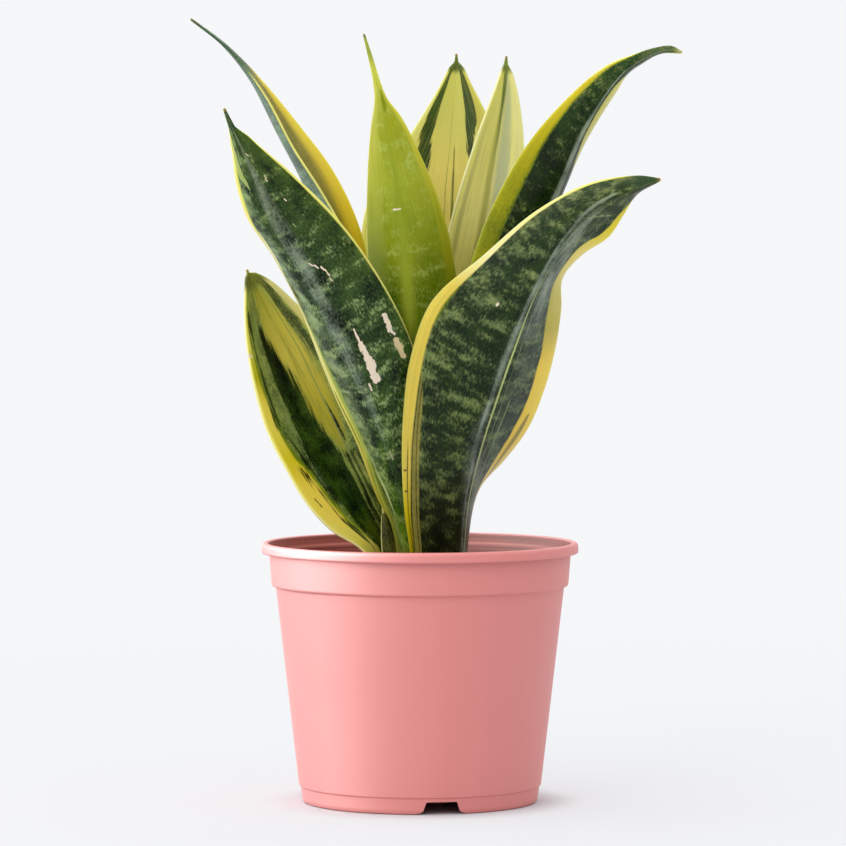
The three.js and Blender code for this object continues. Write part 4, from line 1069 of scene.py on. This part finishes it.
def leaf_skin(name, form, seed):
    """Waxy leaf skin: the ground and its bands, the stripes on them, tips, a painted sheen along the ribs,
    then scars and grain.
    """
    marks = leaf_marks[name]
    _, length = blade_line(form["rib"], form["tip"])
    width = max(math.dist(start, end) for start, end in zip(form["left"], form["right"]))
    finish, tree, shader = new_finish(name + "_skin")
    spread = add_node(tree, "UVMap")
    spread.uv_map = "blade"
    place = use_group(tree, leaf_place, Spread=spread.outputs[0], Width=width, Length=length,
                      Seed=seed)
    across, along = place["Across"], place["Along"]
    heights = np.linspace(0, 1, 12)
    ends = [blade_points(form, heights, np.full(12, side)) for side in (-1.0, 1.0)]
    spans = np.linalg.norm(ends[1] - ends[0], axis=1)
    slimness = edge_line(tree, along, list(zip(heights.tolist(), (spans / spans.max()).tolist())))
    colour = colour_line(tree, along, marks["ground"])
    if "bands" in marks:
        count, rise, tilt, lean, banding, amount, tint = marks["bands"]
        bands = use_group(tree, leaf_bands, Place=place["Place"], Across=across, Along=along,
                          Count=count, Rise=rise, Tilt=tilt, Lean=lean, Banding=banding,
                          Amount=edge_line(tree, along, amount))
        colour = cover(tree, bands["Flecks"], colour, colour_line(tree, along, tint))
    for left, right, tint, softness, ragged in marks["stripes"]:
        stripe = use_group(tree, leaf_stripe, Across=across, Jitter=place["Jitter"],
                           Left=edge_line(tree, along, left) if left else -1.0,
                           Right=edge_line(tree, along, right), Softness=softness, Ragged=ragged)
        colour = cover(tree, stripe["Mask"], colour, colour_line(tree, along, tint))
    if "fibres" in marks:
        amount, tint = marks["fibres"]
        fibre = compute(tree, "MULTIPLY", smooth_step(tree, place["Streak"], 0.46, 0.66), amount)
        colour = cover(tree, fibre, colour, tint)
    wavy = compute(tree, "MULTIPLY_ADD", place["Jitter"], 0.012, along)
    for low, high, tint in marks["caps"]:
        colour = cover(tree, smooth_step(tree, wavy, low, high), colour, tint)
    shine = compute(tree, "MULTIPLY_ADD", place["Cloud"], 0.8, place["Streak"])
    shine = smooth_step(tree, shine, 0.78, 1.04)
    # Painted sheen: pale grey-green laid along the ribs as a painted highlight, broken up by the shine
    # noise.
    for left, right, softness, strength in marks.get("painted_sheen", []):
        sheen_mask = use_group(tree, leaf_stripe, Across=across, Jitter=place["Jitter"],
                          Left=edge_line(tree, along, left), Right=edge_line(tree, along, right),
                          Softness=softness, Ragged=0.02)["Mask"]
        sheen_mask = compute(tree, "MULTIPLY", sheen_mask,
                        compute(tree, "MULTIPLY_ADD", shine, strength * 0.5, strength * 0.5))
        colour = cover(tree, sheen_mask, colour, sheen_grey)
    scarred = 0.0
    for start, end, reach, tint in marks["scars"]:
        scar = use_group(tree, leaf_scar, Flat=place["Flat"], Rough=place["Rough"], Reach=reach,
                         Start=(start[0] * width, start[1] * length, 0.0),
                         End=(end[0] * width, end[1] * length, 0.0))
        colour = cover(tree, scar["Mask"], colour, tint)
        scarred = compute(tree, "MAXIMUM", scarred, scar["Mask"])
    dark = smooth_step(tree, add_node(tree, "RGBToBW", Color=colour).outputs[0], 0.34, 0.05)
    dark = compute(tree, "MULTIPLY", dark, smooth_step(tree, slimness, 0.0, 0.45))
    uneven = compute(tree, "MULTIPLY", dark, compute(tree, "SUBTRACT", place["Mottle"], 0.5))
    tone = add_node(tree, "MapRange", Value=place["Streak"], From_Min=0.3, From_Max=0.7,
                    To_Min=0.92, To_Max=1.07)
    tone = compute(tree, "MULTIPLY", tone.outputs["Result"],
                   compute(tree, "MULTIPLY_ADD", uneven, marks.get("mottle", 0.8) * 2, 1.0))
    streaked = add_node(tree, "HueSaturation", Value=tone, Color=colour,
                        Hue=compute(tree, "MULTIPLY_ADD", uneven, -0.05, 0.5))
    feed(tree, shader.inputs["Base Color"], streaked.outputs[0])
    gloss = add_node(tree, "MapRange", Value=place["Cloud"], From_Min=0.3, From_Max=0.7,
                     To_Min=0.30, To_Max=0.40)
    feed(tree, shader.inputs["Roughness"],
         compute(tree, "MULTIPLY_ADD", scarred, 0.35, gloss.outputs["Result"]))
    height = compute(tree, "MULTIPLY_ADD", place["Streak"], 0.6,
                     grain(tree, place["Place"], (0.7, 1.1, 1.0), 2.0))
    height = compute(tree, "MULTIPLY", compute(tree, "SUBTRACT", height, scarred), slimness)
    relief = add_node(tree, "Bump", Height=height, Strength=0.25, Distance=0.0002)
    feed(tree, shader.inputs["Normal"], relief.outputs[0])
    shader.inputs["Specular IOR Level"].default_value = 0.16
    shader.inputs["Subsurface Weight"].default_value = 0.7
    shader.inputs["Subsurface Radius"].default_value = (1.0, 0.9, 0.3)
    shader.inputs["Subsurface Scale"].default_value = 0.005
    return finish


for seed, (name, form) in enumerate(leaf_forms.items()):
    blade = leaf_blade(name.replace("leaf_", "blade_").replace("dry_sheath", "dry_husk"), form)
    blade.data.materials.append(leaf_skin(name, form, seed * 37.0))
    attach(blade, "root")
    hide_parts(name)


# ---- the rhizome and the soil -----------------------------------------------------------------
# The leaves stand on one thick rootstock with tan, ringed bark. Dark potting soil is poured round
# it and up over the leaves' feet. Its top is loose crumbs, the larger ones drier and paler.

def rootstock_skin():
    """Tan, fibrous bark with the ring scars that old leaves leave."""
    finish, tree, shader = new_finish("rootstock_skin")
    place = add_node(tree, "TexCoord").outputs["Object"]
    fibre = grain(tree, place, (0.0006, 0.0006, 0.006))
    rings = grain(tree, place, (0.02, 0.02, 0.0016), 2.0)
    scar = smooth_step(tree, rings, 0.52, 0.62)
    colour = cover(tree, fibre, paint(150, 112, 66), paint(216, 186, 128))
    colour = cover(tree, compute(tree, "MULTIPLY", scar, 0.8), colour, paint(112, 78, 44))
    colour = cover(tree, smooth_step(tree, grain(tree, place, (0.004, 0.004, 0.004)), 0.55, 0.75),
                   colour, paint(74, 54, 36))
    feed(tree, shader.inputs["Base Color"], colour)
    feed(tree, shader.inputs["Roughness"],
         add_node(tree, "MapRange", Value=fibre, To_Min=0.62, To_Max=0.85).outputs["Result"])
    relief = add_node(tree, "Bump", Height=compute(tree, "SUBTRACT", fibre, scar), Strength=0.5,
                      Distance=0.0006)
    feed(tree, shader.inputs["Normal"], relief.outputs[0])
    return finish


def crumb_finish(name, dark, light, size, rough):
    """A dull, pitted surface that wavers between two colours."""
    finish, tree, shader = new_finish(name)
    place = add_node(tree, "TexCoord").outputs["Object"]
    lumps = grain(tree, place, (size, size, size), 4.0)
    pits = grain(tree, place, (size * 0.2, size * 0.2, size * 0.2), 3.0)
    share = smooth_step(tree, compute(tree, "MULTIPLY_ADD", pits, 0.6, lumps), 0.55, 1.05)
    feed(tree, shader.inputs["Base Color"], cover(tree, share, dark, light))
    feed(tree, shader.inputs["Roughness"],
         add_node(tree, "MapRange", Value=pits, To_Min=rough, To_Max=1.0).outputs["Result"])
    relief = add_node(tree, "Bump", Height=compute(tree, "ADD", lumps, pits), Strength=0.8,
                      Distance=0.0008)
    feed(tree, shader.inputs["Normal"], relief.outputs[0])
    shader.inputs["Specular IOR Level"].default_value = 0.2
    return finish


def soil_height(radius):
    """The level of the soil, which rises from the wall towards the plant."""
    return float(np.interp(radius, [0, 24, 38, 53.05], [82.6, 82.3, 81.2, 80.6]))


def soil_body():
    """The turned ball of soil with a crumbly top, a hollow for the rootstock and leaf slots."""
    profile = [(0.5, 6.7), (43.5, 6.7), (44.4, 7.9), (52.95, 80.0)]
    profile += [(radius, soil_height(radius)) for radius in np.arange(52.9, 1.0, -1.4)]
    soil = turned_shell("potting_soil", to_metres([*profile, (0.5, 82.6)]), 150)
    for vertex in soil.data.vertices:
        around = vertex.co.xy.length
        if vertex.co.z > 80.4 * mm and around < 52.6 * mm:
            lumps = noise.noise(vertex.co * 260.0) + 0.6 * noise.noise(vertex.co * 620.0)
            vertex.co.z += (lumps * 0.9 - 0.4) * mm
    pick(soil)
    bpy.ops.object.mode_set(mode="EDIT")
    bpy.ops.mesh.select_all(action="SELECT")
    bpy.ops.mesh.quads_convert_to_tris()
    bpy.ops.object.mode_set(mode="OBJECT")
    hollow = [(0.5, 45.4), (11.0, 46.9), (16.1, 52.7), (17.6, 60.0), (16.8, 66.3), (0.5, 66.3)]
    cut_out(soil, turned_shell("hollow", to_metres(hollow), 48))
    for name, form in leaf_forms.items():
        cut_out(soil, leaf_blade("slot_" + name, form, columns=16, growth=0.8))
    smooth_over(soil, 70)
    return soil


def scatter(name, count, size, stretch, finish, clear_of, seed):
    """Loose bits on the soil, each a rough lump, turned at random and clear of the leaves."""
    draw = random.Random(seed)
    clearance = 2.4
    verts, faces = [], []
    bpy.ops.object.select_all(action="DESELECT")
    bpy.ops.mesh.primitive_ico_sphere_add(subdivisions=1, radius=1.0)
    lump = bpy.context.object
    corners = [vertex.co.copy() for vertex in lump.data.vertices]
    sides = [tuple(face.vertices) for face in lump.data.polygons]
    while count:
        radius, angle = 51.0 * math.sqrt(draw.random()), draw.uniform(0, math.tau)
        spot = Vector((radius * math.cos(angle), radius * math.sin(angle), soil_height(radius)))
        scale = size * draw.uniform(0.45, 1.0)
        gap = np.min(np.hypot(clear_of[:, 0] - spot.x, clear_of[:, 1] - spot.y))
        if gap < clearance + scale * stretch:
            continue
        count -= 1
        turn = Euler([draw.uniform(-0.5, 0.5), draw.uniform(-0.5, 0.5),
                      draw.uniform(0, math.tau)])
        first = len(verts)
        for corner in corners:
            rough = corner * draw.uniform(0.75, 1.2)
            rough = Vector((rough.x * stretch, rough.y, rough.z * 0.7)) * scale
            rough.rotate(turn)
            verts.append((spot + rough) * mm)
        faces += [tuple(first + corner for corner in side) for side in sides]
    mesh = bpy.data.meshes.new(name)
    mesh.from_pydata(verts, [], faces)
    lump.data = mesh
    lump.name = name
    mesh.materials.append(finish)
    return lump


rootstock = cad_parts["rhizome"]
rootstock.material_slots[0].material = rootstock_skin()

soil = soil_body()
soil.data.materials.clear()
peat = crumb_finish("peat", paint(34, 24, 18), paint(92, 70, 52), 0.0016, 0.85)
dry_peat = crumb_finish("dry_peat", paint(58, 42, 30), paint(122, 96, 70), 0.0016, 0.85)
soil.data.materials.append(peat)
heights, sides = np.meshgrid(np.linspace(0, 0.3, 60), np.linspace(-1, 1, 15))
leaf_feet = []
for form in leaf_forms.values():
    points = blade_points(form, heights.ravel(), sides.ravel())
    leaf_feet.append(points[(points[:, 2] > 76) & (points[:, 2] < 88)])
leaf_feet = np.vstack(leaf_feet)
pick(scatter("peat_crumbs", 420, 1.5, 1.1, peat, leaf_feet, 3),
     scatter("coarse_crumbs", 90, 2.3, 1.3, dry_peat, leaf_feet, 7),
     soil)
bpy.ops.object.join()
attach(soil, "root")
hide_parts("soil")
